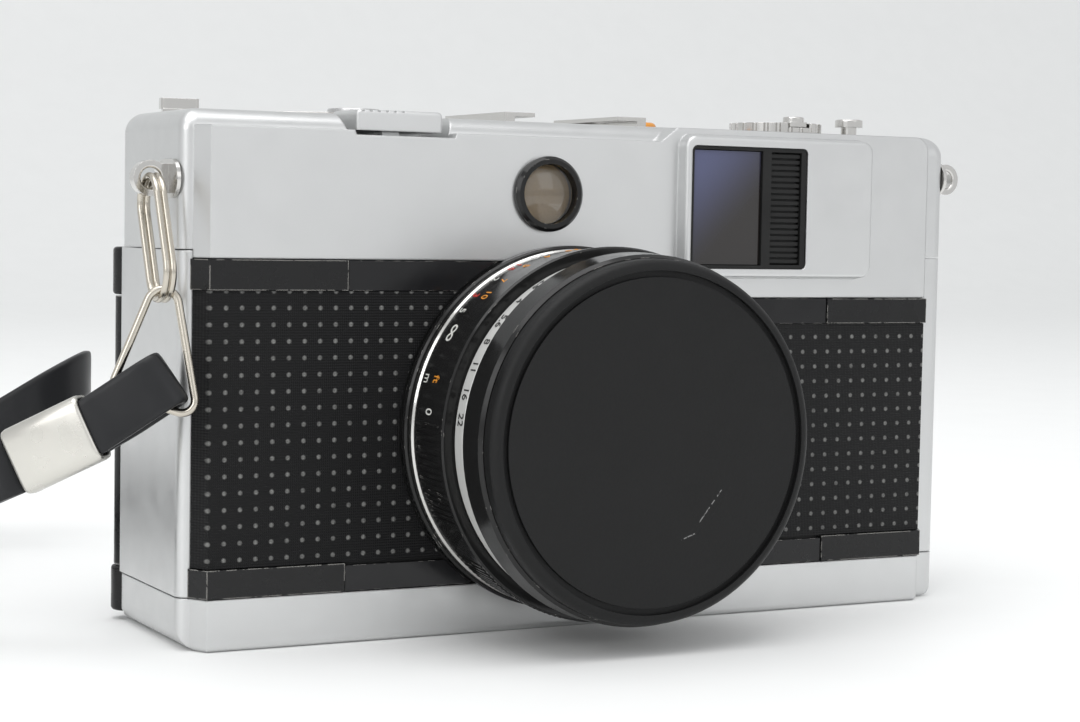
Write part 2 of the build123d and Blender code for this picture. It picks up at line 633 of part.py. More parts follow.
# the doubled end of the strap, folded round the triangle's lower bar
FOLD_RISE = 0.175           # climb of the fold per length
LOOP_OUTSIDE = [
    (0.3, -1.5), (2.6, -0.25), (10.8, 2.35), (9.6, 6.45), (3.0, 4.75), (0.7, 3.2), (0.3, 1.5),
]
LOOP_INSIDE = [(1.7, 1.15), (9.08, 3.29), (8.66, 4.73), (3.6, 3.35), (1.6, 2.3)]
loop_along = (ALONG + UPWARD * FOLD_RISE).normalized()
loop_origin = by_sleeve(0.4, 0, 0)
with BuildPart() as strap_end_loop:
    with BuildSketch(Plane(origin=loop_origin, x_dir=loop_along, z_dir=loop_along.cross(ACROSS))):
        with BuildLine():
            FilletPolyline(*LOOP_OUTSIDE, radius=[0.2, 2, 2, 2, 1.5, 0.6, 0.2], close=True)
        make_face()
        with BuildLine():
            FilletPolyline(*LOOP_INSIDE, radius=[0.15, 0.7, 0.7, 0.8, 0.3], close=True)
        make_face(mode=Mode.SUBTRACT)
    extrude(amount=STRAP_WIDTH / 2 - 0.1, both=True)
save(strap_end_loop.part, "strap_end_loop")

with BuildPart() as strap_sleeve:
    with BuildSketch(Plane(origin=SLEEVE_TAIL, x_dir=ACROSS, z_dir=ALONG)):
        RectangleRounded(4.3, 8.4, 1.0)
    extrude(amount=(SLEEVE_MOUTH - SLEEVE_TAIL).length)
save(strap_sleeve.part, "strap_sleeve")

# ---------------------------------------------------------------- finder and meter eye
BEZEL_BACK = -13.9
GLASS_RIGHT = 23.5
RIBS_LEFT = 24.9

with BuildPart() as finder_bezel:
    with BuildSketch(front_at(FINDER_FRONT + 0.25)):
        with Locations(window_mid):
            RectangleRounded(WINDOW[1] - WINDOW[0] - 0.1, WINDOW[3] - WINDOW[2] - 0.1, 0.7)
    extrude(amount=-(BEZEL_BACK - FINDER_FRONT - 0.25))
    box_between((WINDOW[0] + 0.5, FINDER_FRONT - 1, WINDOW[2] + 0.5),
                (GLASS_RIGHT, BEZEL_BACK + 1, WINDOW[3] - 0.5), mode=Mode.SUBTRACT)
    box_between((RIBS_LEFT, FINDER_FRONT - 1, WINDOW[2] + 0.6),
                (WINDOW[1] - 0.9, FINDER_FRONT + 1.6, WINDOW[3] - 0.6), mode=Mode.SUBTRACT)
save(finder_bezel.part, "finder_bezel")

with BuildPart() as finder_window:
    box_between((WINDOW[0] + 0.6, FINDER_FRONT + 0.7, WINDOW[2] + 0.6),
                (GLASS_RIGHT - 0.1, FINDER_FRONT + 1.7, WINDOW[3] - 0.6))
save(finder_window.part, "finder_window")

RIB_COUNT = 19
rib_low = WINDOW[2] + 0.7
rib_high = WINDOW[3] - 0.7
rib_pitch = (rib_high - rib_low) / RIB_COUNT
with BuildPart() as finder_ribs:
    box_between((RIBS_LEFT + 0.1, FINDER_FRONT + 1.0, rib_low), (WINDOW[1] - 1.0, FINDER_FRONT + 1.6, rib_high))
    for rib in range(RIB_COUNT):
        height = rib_low + (rib + 0.5) * rib_pitch
        box_between((RIBS_LEFT + 0.1, FINDER_FRONT + 0.55, height - 0.26),
                    (WINDOW[1] - 1.0, FINDER_FRONT + 1.0, height + 0.26))
save(finder_ribs.part, "finder_ribs")

with BuildPart() as eyepiece:
    with BuildSketch(front_at(REAR + 1.6)):
        with Locations((EYEPIECE_X, EYEPIECE_Z)):
            RectangleRounded(13.6, 10.6, 2.4)
            RectangleRounded(7.6, 5.4, 1.0, mode=Mode.SUBTRACT)
    extrude(amount=1.6)
    fillet(eyepiece.faces().sort_by(Axis.Y)[-1].outer_wire().edges(), 0.5)
    with BuildSketch(front_at(REAR)):
        with Locations((EYEPIECE_X, EYEPIECE_Z)):
            RectangleRounded(9.8, 7.4, 1.5)
            RectangleRounded(8.0, 5.8, 1.0, mode=Mode.SUBTRACT)
    extrude(amount=1.6)
save(eyepiece.part, "eyepiece")

with BuildPart() as eyepiece_glass:
    with BuildSketch(front_at(REAR)):
        with Locations((EYEPIECE_X, EYEPIECE_Z)):
            RectangleRounded(7.9, 5.7, 0.95)
    extrude(amount=0.8)
save(eyepiece_glass.part, "eyepiece_glass")

eye_plane = Plane(origin=(EYE_X, FRONT, EYE_Z), x_dir=(1, 0, 0), z_dir=(0, -1, 0))
with BuildPart() as meter_ring:
    with BuildSketch(eye_plane):
        Circle(EYE_R)
        Circle(3.9, mode=Mode.SUBTRACT)
    extrude(amount=0.95)
    rim = meter_ring.faces().sort_by(Axis.Y)[0].outer_wire().edges()
    chamfer(rim, length=0.4)
    with BuildSketch(eye_plane):
        Circle(EYE_R - 0.65)
        Circle(3.9, mode=Mode.SUBTRACT)
    extrude(amount=-3.4)
save(meter_ring.part, "meter_ring")

DOME_R = 8.0
with BuildPart() as meter_lens:
    with BuildSketch(eye_plane.offset(-1.2)):
        Circle(3.85)
    extrude(amount=1.7)
    with Locations((EYE_X, FRONT - 0.5 + DOME_R, EYE_Z)):
        Sphere(DOME_R, mode=Mode.INTERSECT)
save(meter_lens.part, "meter_lens")

with BuildPart() as meter_cell:
    with BuildSketch(eye_plane.offset(-2.4)):
        Circle(3.7)
    extrude(amount=-0.8)
save(meter_cell.part, "meter_cell")

# ---------------------------------------------------------------- controls on the top
with BuildPart() as release_button:
    box_between((BUTTON[0], BUTTON_FRONT, LEDGE + 0.9), (BUTTON[1], BUTTON_REAR, TOP + 0.6))
    fillet(release_button.edges().filter_by(Axis.Y).group_by(Axis.Z)[-1], 0.6)
    fillet(release_button.edges().filter_by(Axis.Z), 0.35)
    # finger serrations over the left half
    for groove in range(6):
        with Locations((BUTTON[0] + 0.9 + 1.1 * groove, (BUTTON_FRONT + BUTTON_REAR) / 2, TOP + 0.6)):
            Box(0.35, 20, 0.5, mode=Mode.SUBTRACT)
    # plunger under the bar
    with Locations(((BUTTON[0] + BUTTON[1]) / 2, (BUTTON_FRONT + BUTTON_REAR) / 2, LEDGE + 0.55)):
        Box(2.4, 2.4, 0.7)
save(release_button.part, "release_button")

with BuildPart() as advance_lever:
    with BuildSketch(Plane.XY.offset(TOP + 0.1)) as lever_plan:
        with Locations((LEVER_X, LEVER_Y)):
            Circle(5.2)
        with BuildLine():
            Polyline(
                (LEVER_X - 2.0, LEVER_Y + 4.8), (LEVER_X - 14.0, 9.2), (LEVER_X - 23.5, 10.4),
                (LEVER_X - 24.2, 7.6), (LEVER_X - 14.0, 5.4), (LEVER_X - 4.6, LEVER_Y - 2.4),
                close=True,
            )
        make_face()
        with Locations((LEVER_X, LEVER_Y)):
            Circle(1.7, mode=Mode.SUBTRACT)
    extrude(amount=0.55)
    # turned-up thumb tip
    with BuildSketch(Plane.XY.offset(TOP + 0.65)):
        with Locations((LEVER_X - 21.5, 9.0)):
            RectangleRounded(5.0, 2.4, 0.6, rotation=-8)
    extrude(amount=1.4)
save(advance_lever.part, "advance_lever")

with BuildPart() as lever_screw:
    with BuildSketch(Plane.XY.offset(TOP + 0.65)):
        with Locations((LEVER_X, LEVER_Y)):
            Circle(3.5)
    extrude(amount=0.6)
    chamfer(lever_screw.faces().sort_by(Axis.Z)[-1].edges(), length=0.15)
    with BuildSketch(Plane.XY.offset(TOP - 3)):
        with Locations((LEVER_X, LEVER_Y)):
            Circle(1.5)
    extrude(amount=3.65)
    with Locations((LEVER_X, LEVER_Y, TOP + 1.25)):
        Box(4.2, 0.6, 0.5, mode=Mode.SUBTRACT)
save(lever_screw.part, "lever_screw")

with BuildPart() as counter_dial:
    with BuildSketch(Plane.XY.offset(TOP - 0.9)):
        with Locations((COUNTER_X, COUNTER_Y)):
            Circle(COUNTER_R - 0.1)
    extrude(amount=0.6)
save(counter_dial.part, "counter_dial")

SHOE_FLOOR = TOP - 1.7
with BuildPart() as accessory_shoe:
    box_between((SHOE_X - 10.75, SHOE_Y - 9.2, SHOE_FLOOR), (SHOE_X + 10.75, SHOE_Y + 9.2, TOP + 1.3))
    box_between((SHOE_X - 9.35, SHOE_Y - 12, SHOE_FLOOR + 0.5), (SHOE_X + 9.35, SHOE_Y + 8.0, TOP + 0.75),
                mode=Mode.SUBTRACT)
    box_between((SHOE_X - 6.35, SHOE_Y - 12, SHOE_FLOOR + 0.5), (SHOE_X + 6.35, SHOE_Y + 12, TOP + 3),
                mode=Mode.SUBTRACT)
    with Locations(*[(SHOE_X + dx, SHOE_Y + dy, SHOE_FLOOR) for dx in (-6, 6) for dy in (-5.5, 5.5)]):
        Cylinder(0.85, 4, mode=Mode.SUBTRACT)
save(accessory_shoe.part, "accessory_shoe")

with BuildPart() as shoe_screws:
    for dx in (-6, 6):
        for dy in (-5.5, 5.5):
            with Locations((SHOE_X + dx, SHOE_Y + dy, SHOE_FLOOR + 0.65)):
                Cylinder(1.5, 0.3)
            with Locations((SHOE_X + dx, SHOE_Y + dy, SHOE_FLOOR + 0.25)):
                Cylinder(0.8, 0.5)
            with Locations((SHOE_X + dx, SHOE_Y + dy, SHOE_FLOOR + 0.8)):
                Box(2.2, 0.4, 0.3, mode=Mode.SUBTRACT)
save(shoe_screws.part, "shoe_screws")

with BuildPart() as check_lamp:
    with Locations((LAMP_X, SHOE_Y, TOP - 0.4)):
        Cylinder(1.55, 1.0)
    with Locations((LAMP_X, SHOE_Y, TOP + 0.6)):
        Cylinder(2.0, 1.0)
    fillet(check_lamp.faces().sort_by(Axis.Z)[-1].edges(), 0.7)
save(check_lamp.part, "check_lamp")

with BuildPart() as check_button:
    with Locations((CHECK_X, CHECK_Y, TOP)):
        Cylinder(1.14, 3.4)
    with Locations((CHECK_X, CHECK_Y, TOP + 1.95)):
        Cylinder(2.0, 1.1)
    fillet(check_button.faces().sort_by(Axis.Z)[-1].edges(), 0.25)
save(check_button.part, "check_button")

KNOB_R = 6.65
with BuildPart() as rewind_knob:
    with BuildSketch(Plane.XY.offset(TOP + 0.25)):
        with Locations((KNOB_X, KNOB_Y)):
            Circle(KNOB_R)
    extrude(amount=1.35)
    # finger flutes round the rim
    flutes = [
        (KNOB_X + KNOB_R * math.cos(math.tau * i / 24), KNOB_Y + KNOB_R * math.sin(math.tau * i / 24),
         TOP + 1.0)
        for i in range(24)
    ]
    with Locations(*flutes):
        Cylinder(0.35, 3, mode=Mode.SUBTRACT)
    # groove for the folded crank
    with Locations((KNOB_X, KNOB_Y, TOP + 1.6)):
        Box(3.6, 20, 1.3, mode=Mode.SUBTRACT)
    with BuildSketch(Plane.XY.offset(47.2)):
        with Locations((KNOB_X, KNOB_Y)):
            Circle(2.5)
    extrude(amount=TOP + 0.25 - 47.2)
    # fork that turns the cassette's spool
    with Locations((KNOB_X, KNOB_Y, 45.6)):
        Box(4.6, 0.9, 3.2)
save(rewind_knob.part, "rewind_knob")

CRANK_PIVOT_Y = KNOB_Y + 4.6
with BuildPart() as rewind_crank:
    box_between((KNOB_X - 1.6, KNOB_Y - 6.2, TOP + 1.05), (KNOB_X + 1.6, CRANK_PIVOT_Y + 0.3, TOP + 1.75))
    fillet(rewind_crank.edges().filter_by(Axis.Z), 0.7)
    with Locations((KNOB_X, KNOB_Y - 4.6, TOP + 2.05)):
        Cylinder(1.5, 0.9)
    fillet(rewind_crank.faces().sort_by(Axis.Z)[-1].edges(), 0.2)
save(rewind_crank.part, "rewind_crank")

# ---------------------------------------------------------------- lens
BASE_END = -16.4
CHROME_END = -17.6
FOCUS_START = -17.7
FOCUS_END = -27.5
APERTURE_START = -27.7
APERTURE_END = -30.2
BARREL_START = -30.4
BARREL_WIDE = -32.0
BARREL_END = -36.2
CAP_START = -36.3
CAP_END = -38.6
CAP_SEAT_R = 21.0
LENS_AXIS = Axis((LENS_X, 0, LENS_Z), (0, 1, 0))

save(ring(FRONT, BASE_END, 23.8, TUBE_R + RUNNING), "lens_base_ring")
save(ring(BASE_END, CHROME_END, 23.4, TUBE_R + RUNNING), "chrome_ring")

with BuildPart() as focus_ring:
    with BuildSketch(Plane(origin=(LENS_X, 0, LENS_Z), x_dir=(1, 0, 0), z_dir=(0, 0, 1))):
        with BuildLine():
            Polyline(
                (TUBE_R + RUNNING, FOCUS_START), (23.0, FOCUS_START), (23.2, FOCUS_START - 0.3),
                (23.9, FOCUS_END + 0.3), (23.7, FOCUS_END), (TUBE_R + RUNNING, FOCUS_END),
                close=True,
            )
        make_face()
    revolve(axis=LENS_AXIS)
save(focus_ring.part, "focus_ring")
save(ring(APERTURE_START, APERTURE_END, 22.4, TUBE_R + RUNNING), "aperture_ring")

with BuildPart() as front_barrel:
    # fixed tube under the rings
    with BuildSketch(lens_plane(FRONT + 0.4)):
        Circle(TUBE_R)
        Circle(17.4, mode=Mode.SUBTRACT)
    extrude(amount=FRONT + 0.4 - BARREL_START)
    # front ring with its seat for the cap
    with BuildSketch(Plane(origin=(LENS_X, 0, LENS_Z), x_dir=(1, 0, 0), z_dir=(0, 0, 1))):
        with BuildLine():
            Polyline(
                (10.6, BARREL_START), (22.5, BARREL_START), (23.3, BARREL_WIDE), (23.1, BARREL_END + 0.5),
                (22.7, BARREL_END), (CAP_SEAT_R, BARREL_END), (CAP_SEAT_R, BARREL_WIDE), (10.6, BARREL_WIDE),
                close=True,
            )
        make_face()
    revolve(axis=LENS_AXIS)
save(front_barrel.part, "front_barrel")

FRONT_LENS_R = 30.0
with BuildPart() as front_lens:
    with BuildSketch(lens_plane(BARREL_START + 3.0)):
        Circle(10.5)
    extrude(amount=4.1)
    with Locations((LENS_X, BARREL_START - 1.1 + FRONT_LENS_R, LENS_Z)):
        Sphere(FRONT_LENS_R, mode=Mode.INTERSECT)
save(front_lens.part, "front_lens")

with BuildPart() as shutter_housing:
    with BuildSketch(lens_plane(-5.0)):
        Circle(16.8)
        Circle(8.0, mode=Mode.SUBTRACT)
    extrude(amount=18.0)
    # fixed plate that holds the closed shutter blades
    with BuildSketch(lens_plane(-12.0)):
        Circle(8.0)
    extrude(amount=0.6)
save(shutter_housing.part, "shutter_housing")

with BuildPart() as lens_cap:
    with BuildSketch(lens_plane(CAP_START)):
        Circle(22.6)
    extrude(amount=CAP_START - CAP_END)
    front_rim = lens_cap.faces().sort_by(Axis.Y)[0].edges()
    fillet(front_rim, 1.2)
    # disc a little lower than the rim, and the groove round it
    with BuildSketch(lens_plane(CAP_END)):
        Circle(21.2)
    extrude(amount=-0.15, mode=Mode.SUBTRACT)
    with BuildSketch(lens_plane(CAP_END)):
        Circle(21.2)
        Circle(20.4, mode=Mode.SUBTRACT)
    extrude(amount=-0.7, mode=Mode.SUBTRACT)
    # spring skirt that grips inside the front ring
    with BuildSketch(lens_plane(CAP_START)):
        Circle(CAP_SEAT_R - 0.06)
        Circle(19.9, mode=Mode.SUBTRACT)
    extrude(amount=-3.0)
save(lens_cap.part, "lens_cap")

# ---------------------------------------------------------------- film transport
with BuildPart() as take_up_spool:
    with BuildSketch(Plane.XY.offset(9.2)):
        with Locations((SPOOL_X, SPOOL_Y)):
            Circle(5.0)
    extrude(amount=37.0)
    for low in (9.2, 45.0):
        with BuildSketch(Plane.XY.offset(low)):
            with Locations((SPOOL_X, SPOOL_Y)):
                Circle(9.0)
        extrude(amount=1.2)
    with BuildSketch(Plane.XY.offset(14)):
        with Locations((SPOOL_X, SPOOL_Y)):
            Rectangle(1.2, 12)
    extrude(amount=26, mode=Mode.SUBTRACT)
save(take_up_spool.part, "take_up_spool")

SPROCKET_X = -22.5
SPROCKET_Y = 6.4
with BuildPart() as sprocket:
    with BuildSketch(Plane.XY.offset(9.2)):
        with Locations((SPROCKET_X, SPROCKET_Y)):
            Circle(3.0)
    extrude(amount=37.0)
    for low in (12.8, 39.6):
        with BuildSketch(Plane.XY.offset(low)):
            with Locations((SPROCKET_X, SPROCKET_Y)):
                Circle(3.6)
                with PolarLocations(3.8, 8):
                    Rectangle(1.0, 1.1)
        extrude(amount=1.6)
save(sprocket.part, "sprocket")

# ---------------------------------------------------------------- underside
SOCKET_THREAD_R = 3.175
with BuildPart() as tripod_socket:
    with BuildSketch(Plane.XY):
        Circle(4.65)
        Circle(SOCKET_THREAD_R, mode=Mode.SUBTRACT)
    extrude(amount=2.95)
    with BuildSketch(Plane.XY.offset(1.25)):
        Circle(6.0)
        Circle(SOCKET_THREAD_R, mode=Mode.SUBTRACT)
    extrude(amount=1.7)
save(tripod_socket.part, "tripod_socket")

with BuildPart() as battery_cover:
    with BuildSketch(Plane.XY.offset(0.2)):
        with Locations((30, -1)):
            Circle(8.5)
    extrude(amount=1.9)
    with Locations((30, -1, 0.2)):
        Box(12.5, 1.8, 1.4, mode=Mode.SUBTRACT)
save(battery_cover.part, "battery_cover")

with BuildPart() as rewind_release:
    with BuildSketch(Plane.XY.offset(0.25)):
        with Locations((-22, 4)):
            Circle(2.0)
    extrude(amount=1.7)
save(rewind_release.part, "rewind_release")

with BuildPart() as bottom_screws:
    for x, y in ((-50, -8), (-50, 6), (50, -8), (50, 6)):
        with Locations((x, y, 1.3)):
            Cylinder(0.9, 1.6)
        with Locations((x, y, 0.5)):
            Box(1.9, 0.35, 0.5, mode=Mode.SUBTRACT)
save(bottom_screws.part, "bottom_screws")
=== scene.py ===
"""Half frame camera with its wrist strap: view, light, finishes and fine detail.

Everything is in metres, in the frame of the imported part: X to the right seen from the front,
Y from the lens towards the back, Z up from the surface that the camera stands on.
"""

import logging
import math
from dataclasses import dataclass
from enum import Enum

import bmesh
import bpy
from mathutils import Matrix, Vector


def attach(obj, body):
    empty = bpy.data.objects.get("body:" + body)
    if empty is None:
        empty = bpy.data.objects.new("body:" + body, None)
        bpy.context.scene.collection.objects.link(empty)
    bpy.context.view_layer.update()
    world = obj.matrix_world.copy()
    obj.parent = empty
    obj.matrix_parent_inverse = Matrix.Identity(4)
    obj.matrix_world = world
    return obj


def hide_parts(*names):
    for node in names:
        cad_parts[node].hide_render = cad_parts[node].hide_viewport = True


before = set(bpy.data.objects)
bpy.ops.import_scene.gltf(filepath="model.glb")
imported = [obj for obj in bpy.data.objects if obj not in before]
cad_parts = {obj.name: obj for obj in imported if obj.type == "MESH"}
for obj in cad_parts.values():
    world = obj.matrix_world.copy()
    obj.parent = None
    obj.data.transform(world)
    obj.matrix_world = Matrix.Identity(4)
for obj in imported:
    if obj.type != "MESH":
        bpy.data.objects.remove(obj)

LOG = logging.getLogger("half_frame_camera")
MM = 0.001
EDGE_TURN = 0.965               # cosine between a face and its softened normal, below which it is an edge
RUB_SCALE = 700.0               # patches of wear per metre
BEVEL_SAMPLES = 4
Colour = tuple[float, float, float]
Point = tuple[float, float, float]


# ------------------------------------------------------------------ node helpers
class NodeBoard:
    """The node tree of one material, with short ways to add and join nodes."""

    def __init__(self, name: str) -> None:
        """Start an empty material.

        Args:
            name: the material's name.
        """
        self.material = bpy.data.materials.new(name)
        self.material.use_nodes = True
        self.tree = self.material.node_tree
        self.tree.nodes.clear()
        self.shader = self.add("ShaderNodeBsdfPrincipled")
        output = self.add("ShaderNodeOutputMaterial")
        self.join(self.shader, "BSDF", output, "Surface")
        self.place = self.add("ShaderNodeTexCoord")

    def add(self, kind: str, **values: object) -> bpy.types.Node:
        """Add a node and set its properties.

        Args:
            kind: the node's type.
            **values: properties of the node.

        Returns:
            The new node.
        """
        node = self.tree.nodes.new(kind)
        for key, value in values.items():
            setattr(node, key, value)
        return node

    def join(self, source: bpy.types.Node, out: str | int, target: bpy.types.Node, into: str | int) -> None:
        """Link one node's output to another's input.

        Args:
            source: the node that gives.
            out: its output.
            target: the node that takes.
            into: its input.
        """
        self.tree.links.new(source.outputs[out], target.inputs[into])

    def noise(self, scale: float, detail: float = 3.0) -> bpy.types.Node:
        """Add a noise texture in the part's own frame.

        Args:
            scale: cells per metre.
            detail: octaves.

        Returns:
            The noise node.
        """
        texture = self.add("ShaderNodeTexNoise")
        texture.inputs["Scale"].default_value = scale
        texture.inputs["Detail"].default_value = detail
        self.join(self.place, "Object", texture, "Vector")
        return texture

    def ramp(
        self, source: bpy.types.Node, out: str | int, stops: tuple[tuple[float, float], ...],
    ) -> bpy.types.Node:
        """Turn a value into grey levels.

        Args:
            source: the node whose value is read.
            out: its output.
            stops: two pairs of position and grey level.

        Returns:
            The ramp node.
        """
        ramp = self.add("ShaderNodeValToRGB")
        for element, (position, level) in zip(ramp.color_ramp.elements, stops):
            element.position = position
            element.color = (level, level, level, 1)
        self.join(source, out, ramp, "Fac")
        return ramp

    def calc(self, kind: str, first: object, second: object) -> bpy.types.Node:
        """Add a math node.

        Args:
            kind: the operation.
            first: a number, or a pair of node and output.
            second: the same.

        Returns:
            The math node.
        """
        node = self.add("ShaderNodeMath", operation=kind)
        for index, value in enumerate((first, second)):
            if isinstance(value, tuple):
                self.join(value[0], value[1], node, index)
            elif value is not None:
                node.inputs[index].default_value = value
        return node

    def mix(self, factor: bpy.types.Node, out: str | int, low: Colour, high: Colour) -> bpy.types.Node:
        """Mix two colours by a node's value.

        Args:
            factor: the node that decides.
            out: its output.
            low: the colour at 0.
            high: the colour at 1.

        Returns:
            The mix node, whose colour output is number 2.
        """
        node = self.add("ShaderNodeMix", data_type="RGBA")
        node.inputs[6].default_value = (*low, 1)
        node.inputs[7].default_value = (*high, 1)
        self.join(factor, out, node, 0)
        return node

    def edge_wear(self, radius: float, amount: float) -> bpy.types.Node:
        """A mask that is 1 on worn edges.

        Args:
            radius: how far the wear reaches from an edge, in metres.
            amount: share of the edge that is worn, from 0 to 1.

        Returns:
            The node whose first output is the mask.
        """
        bevel = self.add("ShaderNodeBevel", samples=BEVEL_SAMPLES)
        bevel.inputs["Radius"].default_value = radius
        geometry = self.add("ShaderNodeNewGeometry")
        turn = self.add("ShaderNodeVectorMath", operation="DOT_PRODUCT")
        self.join(bevel, "Normal", turn, 0)
        self.join(geometry, "Normal", turn, 1)
        edge = self.calc("LESS_THAN", (turn, "Value"), EDGE_TURN)
        rub = self.noise(RUB_SCALE, 5.0)
        chance = self.calc("GREATER_THAN", (rub, "Fac"), 1.0 - amount)
        return self.calc("MULTIPLY", (edge, 0), (chance, 0))

    def bump(
        self, height: bpy.types.Node, out: str | int, distance: float, round_edges: float = 0.0,
    ) -> None:
        """Raise the surface by a height and give it to the shader.

        Args:
            height: the node that gives the height.
            out: its output.
            distance: height in metres of the value 1.
            round_edges: radius of softened edges in metres, or 0 for none.
        """
        node = self.add("ShaderNodeBump")
        node.inputs["Strength"].default_value = 1.0
        node.inputs["Distance"].default_value = distance
        self.join(height, out, node, "Height")
        if round_edges:
            bevel = self.add("ShaderNodeBevel", samples=BEVEL_SAMPLES)
            bevel.inputs["Radius"].default_value = round_edges
            self.join(bevel, "Normal", node, "Normal")
        self.join(node, "Normal", self.shader, "Normal")

    def set(self, **values: object) -> None:
        """Set inputs of the shader, with spaces in their names written as underscores."""
        for key, value in values.items():
            self.shader.inputs[key.replace("_", " ")].default_value = value


# ------------------------------------------------------------------ finishes
@dataclass(frozen=True)
class Metal:
    """A metal surface with fine grain and uneven polish."""

    name: str
    colour: Colour
    rough: tuple[float, float]
    grain: float = 9000.0
    grain_height: float = 2e-6
    round_edges: float = 0.00012
    metallic: float = 1.0

    def build(self) -> bpy.types.Material:
        """Make the material.

        Returns:
            The finished material.
        """
        board = NodeBoard(self.name)
        board.set(Metallic=self.metallic)
        stain = board.noise(90.0, 4.0)
        tint = board.mix(stain, "Fac", tuple(c * 0.93 for c in self.colour), self.colour)
        board.join(tint, 2, board.shader, "Base Color")
        patch = board.noise(260.0, 4.0)
        rough = board.ramp(patch, "Fac", ((0.3, self.rough[0]), (0.7, self.rough[1])))
        board.join(rough, "Color", board.shader, "Roughness")
        grain = board.noise(self.grain, 2.0)
        board.bump(grain, "Fac", self.grain_height, self.round_edges)
        return board.material


@dataclass(frozen=True)
class Lacquer:
    """Black lacquer on metal, rubbed through to the metal along its edges."""

    name: str
    colour: Colour
    rough: tuple[float, float]
    wear: float = 0.45
    wear_reach: float = 0.00016
    specks: float = 0.8
    bare: Colour = (0.34, 0.33, 0.31)
    wave_height: float = 4e-6
    round_edges: float = 0.0001

    def build(self) -> bpy.types.Material:
        """Make the material.

        Returns:
            The finished material.
        """
        board = NodeBoard(self.name)
        worn = board.edge_wear(self.wear_reach, self.wear)
        dust = board.noise(2600.0, 2.0)
        speck = board.calc("GREATER_THAN", (dust, "Fac"), self.specks)
        both = board.calc("MAXIMUM", (worn, 0), (speck, 0))
        shade = board.mix(both, 0, self.colour, self.bare)
        board.join(shade, 2, board.shader, "Base Color")
        patch = board.noise(420.0, 4.0)
        rough = board.ramp(patch, "Fac", ((0.35, self.rough[0]), (0.7, self.rough[1])))
        board.join(rough, "Color", board.shader, "Roughness")
        board.set(Coat_Weight=0.08, Coat_Roughness=0.12, Specular_IOR_Level=0.3)
        wave = board.noise(1500.0, 2.0)
        board.bump(wave, "Fac", self.wave_height, self.round_edges)
        return board.material


@dataclass(frozen=True)
class Leatherette:
    """Black covering embossed with rows of small studs over a fine weave, with a painted highlight on the
    studs' tops.
    """

    name: str = "leatherette_black"
    pitch: float = 2.06 * MM
    dot: float = 0.19
    stud_height: float = 0.00011
    ground: Colour = (0.005, 0.005, 0.0055)
    # painted highlight colour on the studs' tops
    stud_highlight: Colour = (0.30, 0.30, 0.29)

    def build(self) -> bpy.types.Material:
        """Make the material.

        Returns:
            The finished material.
        """
        board = NodeBoard(self.name)
        split = board.add("ShaderNodeSeparateXYZ")
        board.join(board.place, "Object", split, "Vector")
        square = []
        for axis in ("X", "Z"):
            steps = board.calc("DIVIDE", (split, axis), self.pitch)
            part = board.calc("FRACT", (steps, 0), None)
            off = board.calc("SUBTRACT", (part, 0), 0.5)
            square.append(board.calc("MULTIPLY", (off, 0), (off, 0)))
        reach = board.calc("ADD", (square[0], 0), (square[1], 0))
        away = board.calc("SQRT", (reach, 0), None)
        stud = board.add("ShaderNodeMapRange", interpolation_type="SMOOTHSTEP")
        stud.inputs["From Min"].default_value = self.dot
        stud.inputs["From Max"].default_value = self.dot * 0.45
        board.join(away, 0, stud, "Value")
        weave = []
        for axis, pitch in (("Z", self.pitch / 6), ("X", self.pitch / 8)):
            steps = board.calc("MULTIPLY", (split, axis), 2 * math.pi / pitch)
            weave.append(board.calc("SINE", (steps, 0), None))
        lines = board.calc("MULTIPLY", (weave[0], 0), 0.20)
        threads = board.calc("MULTIPLY", (weave[1], 0), 0.10)
        cloth = board.calc("ADD", (lines, 0), (threads, 0))
        height = board.calc("ADD", (cloth, 0), (stud, 0))
        uneven = board.noise(1400.0, 3.0)
        # painted highlight: the studs' tops lighter, unevenly
        lit = board.calc("MULTIPLY", (stud, 0), (uneven, "Fac"))
        shade = board.mix(lit, 0, self.ground, self.stud_highlight)
        board.set(Specular_IOR_Level=0.22)
        board.join(shade, 2, board.shader, "Base Color")
        rough = board.ramp(uneven, "Fac", ((0.3, 0.36), (0.75, 0.56)))
        board.join(rough, "Color", board.shader, "Roughness")
        board.bump(height, 0, self.stud_height)
        return board.material


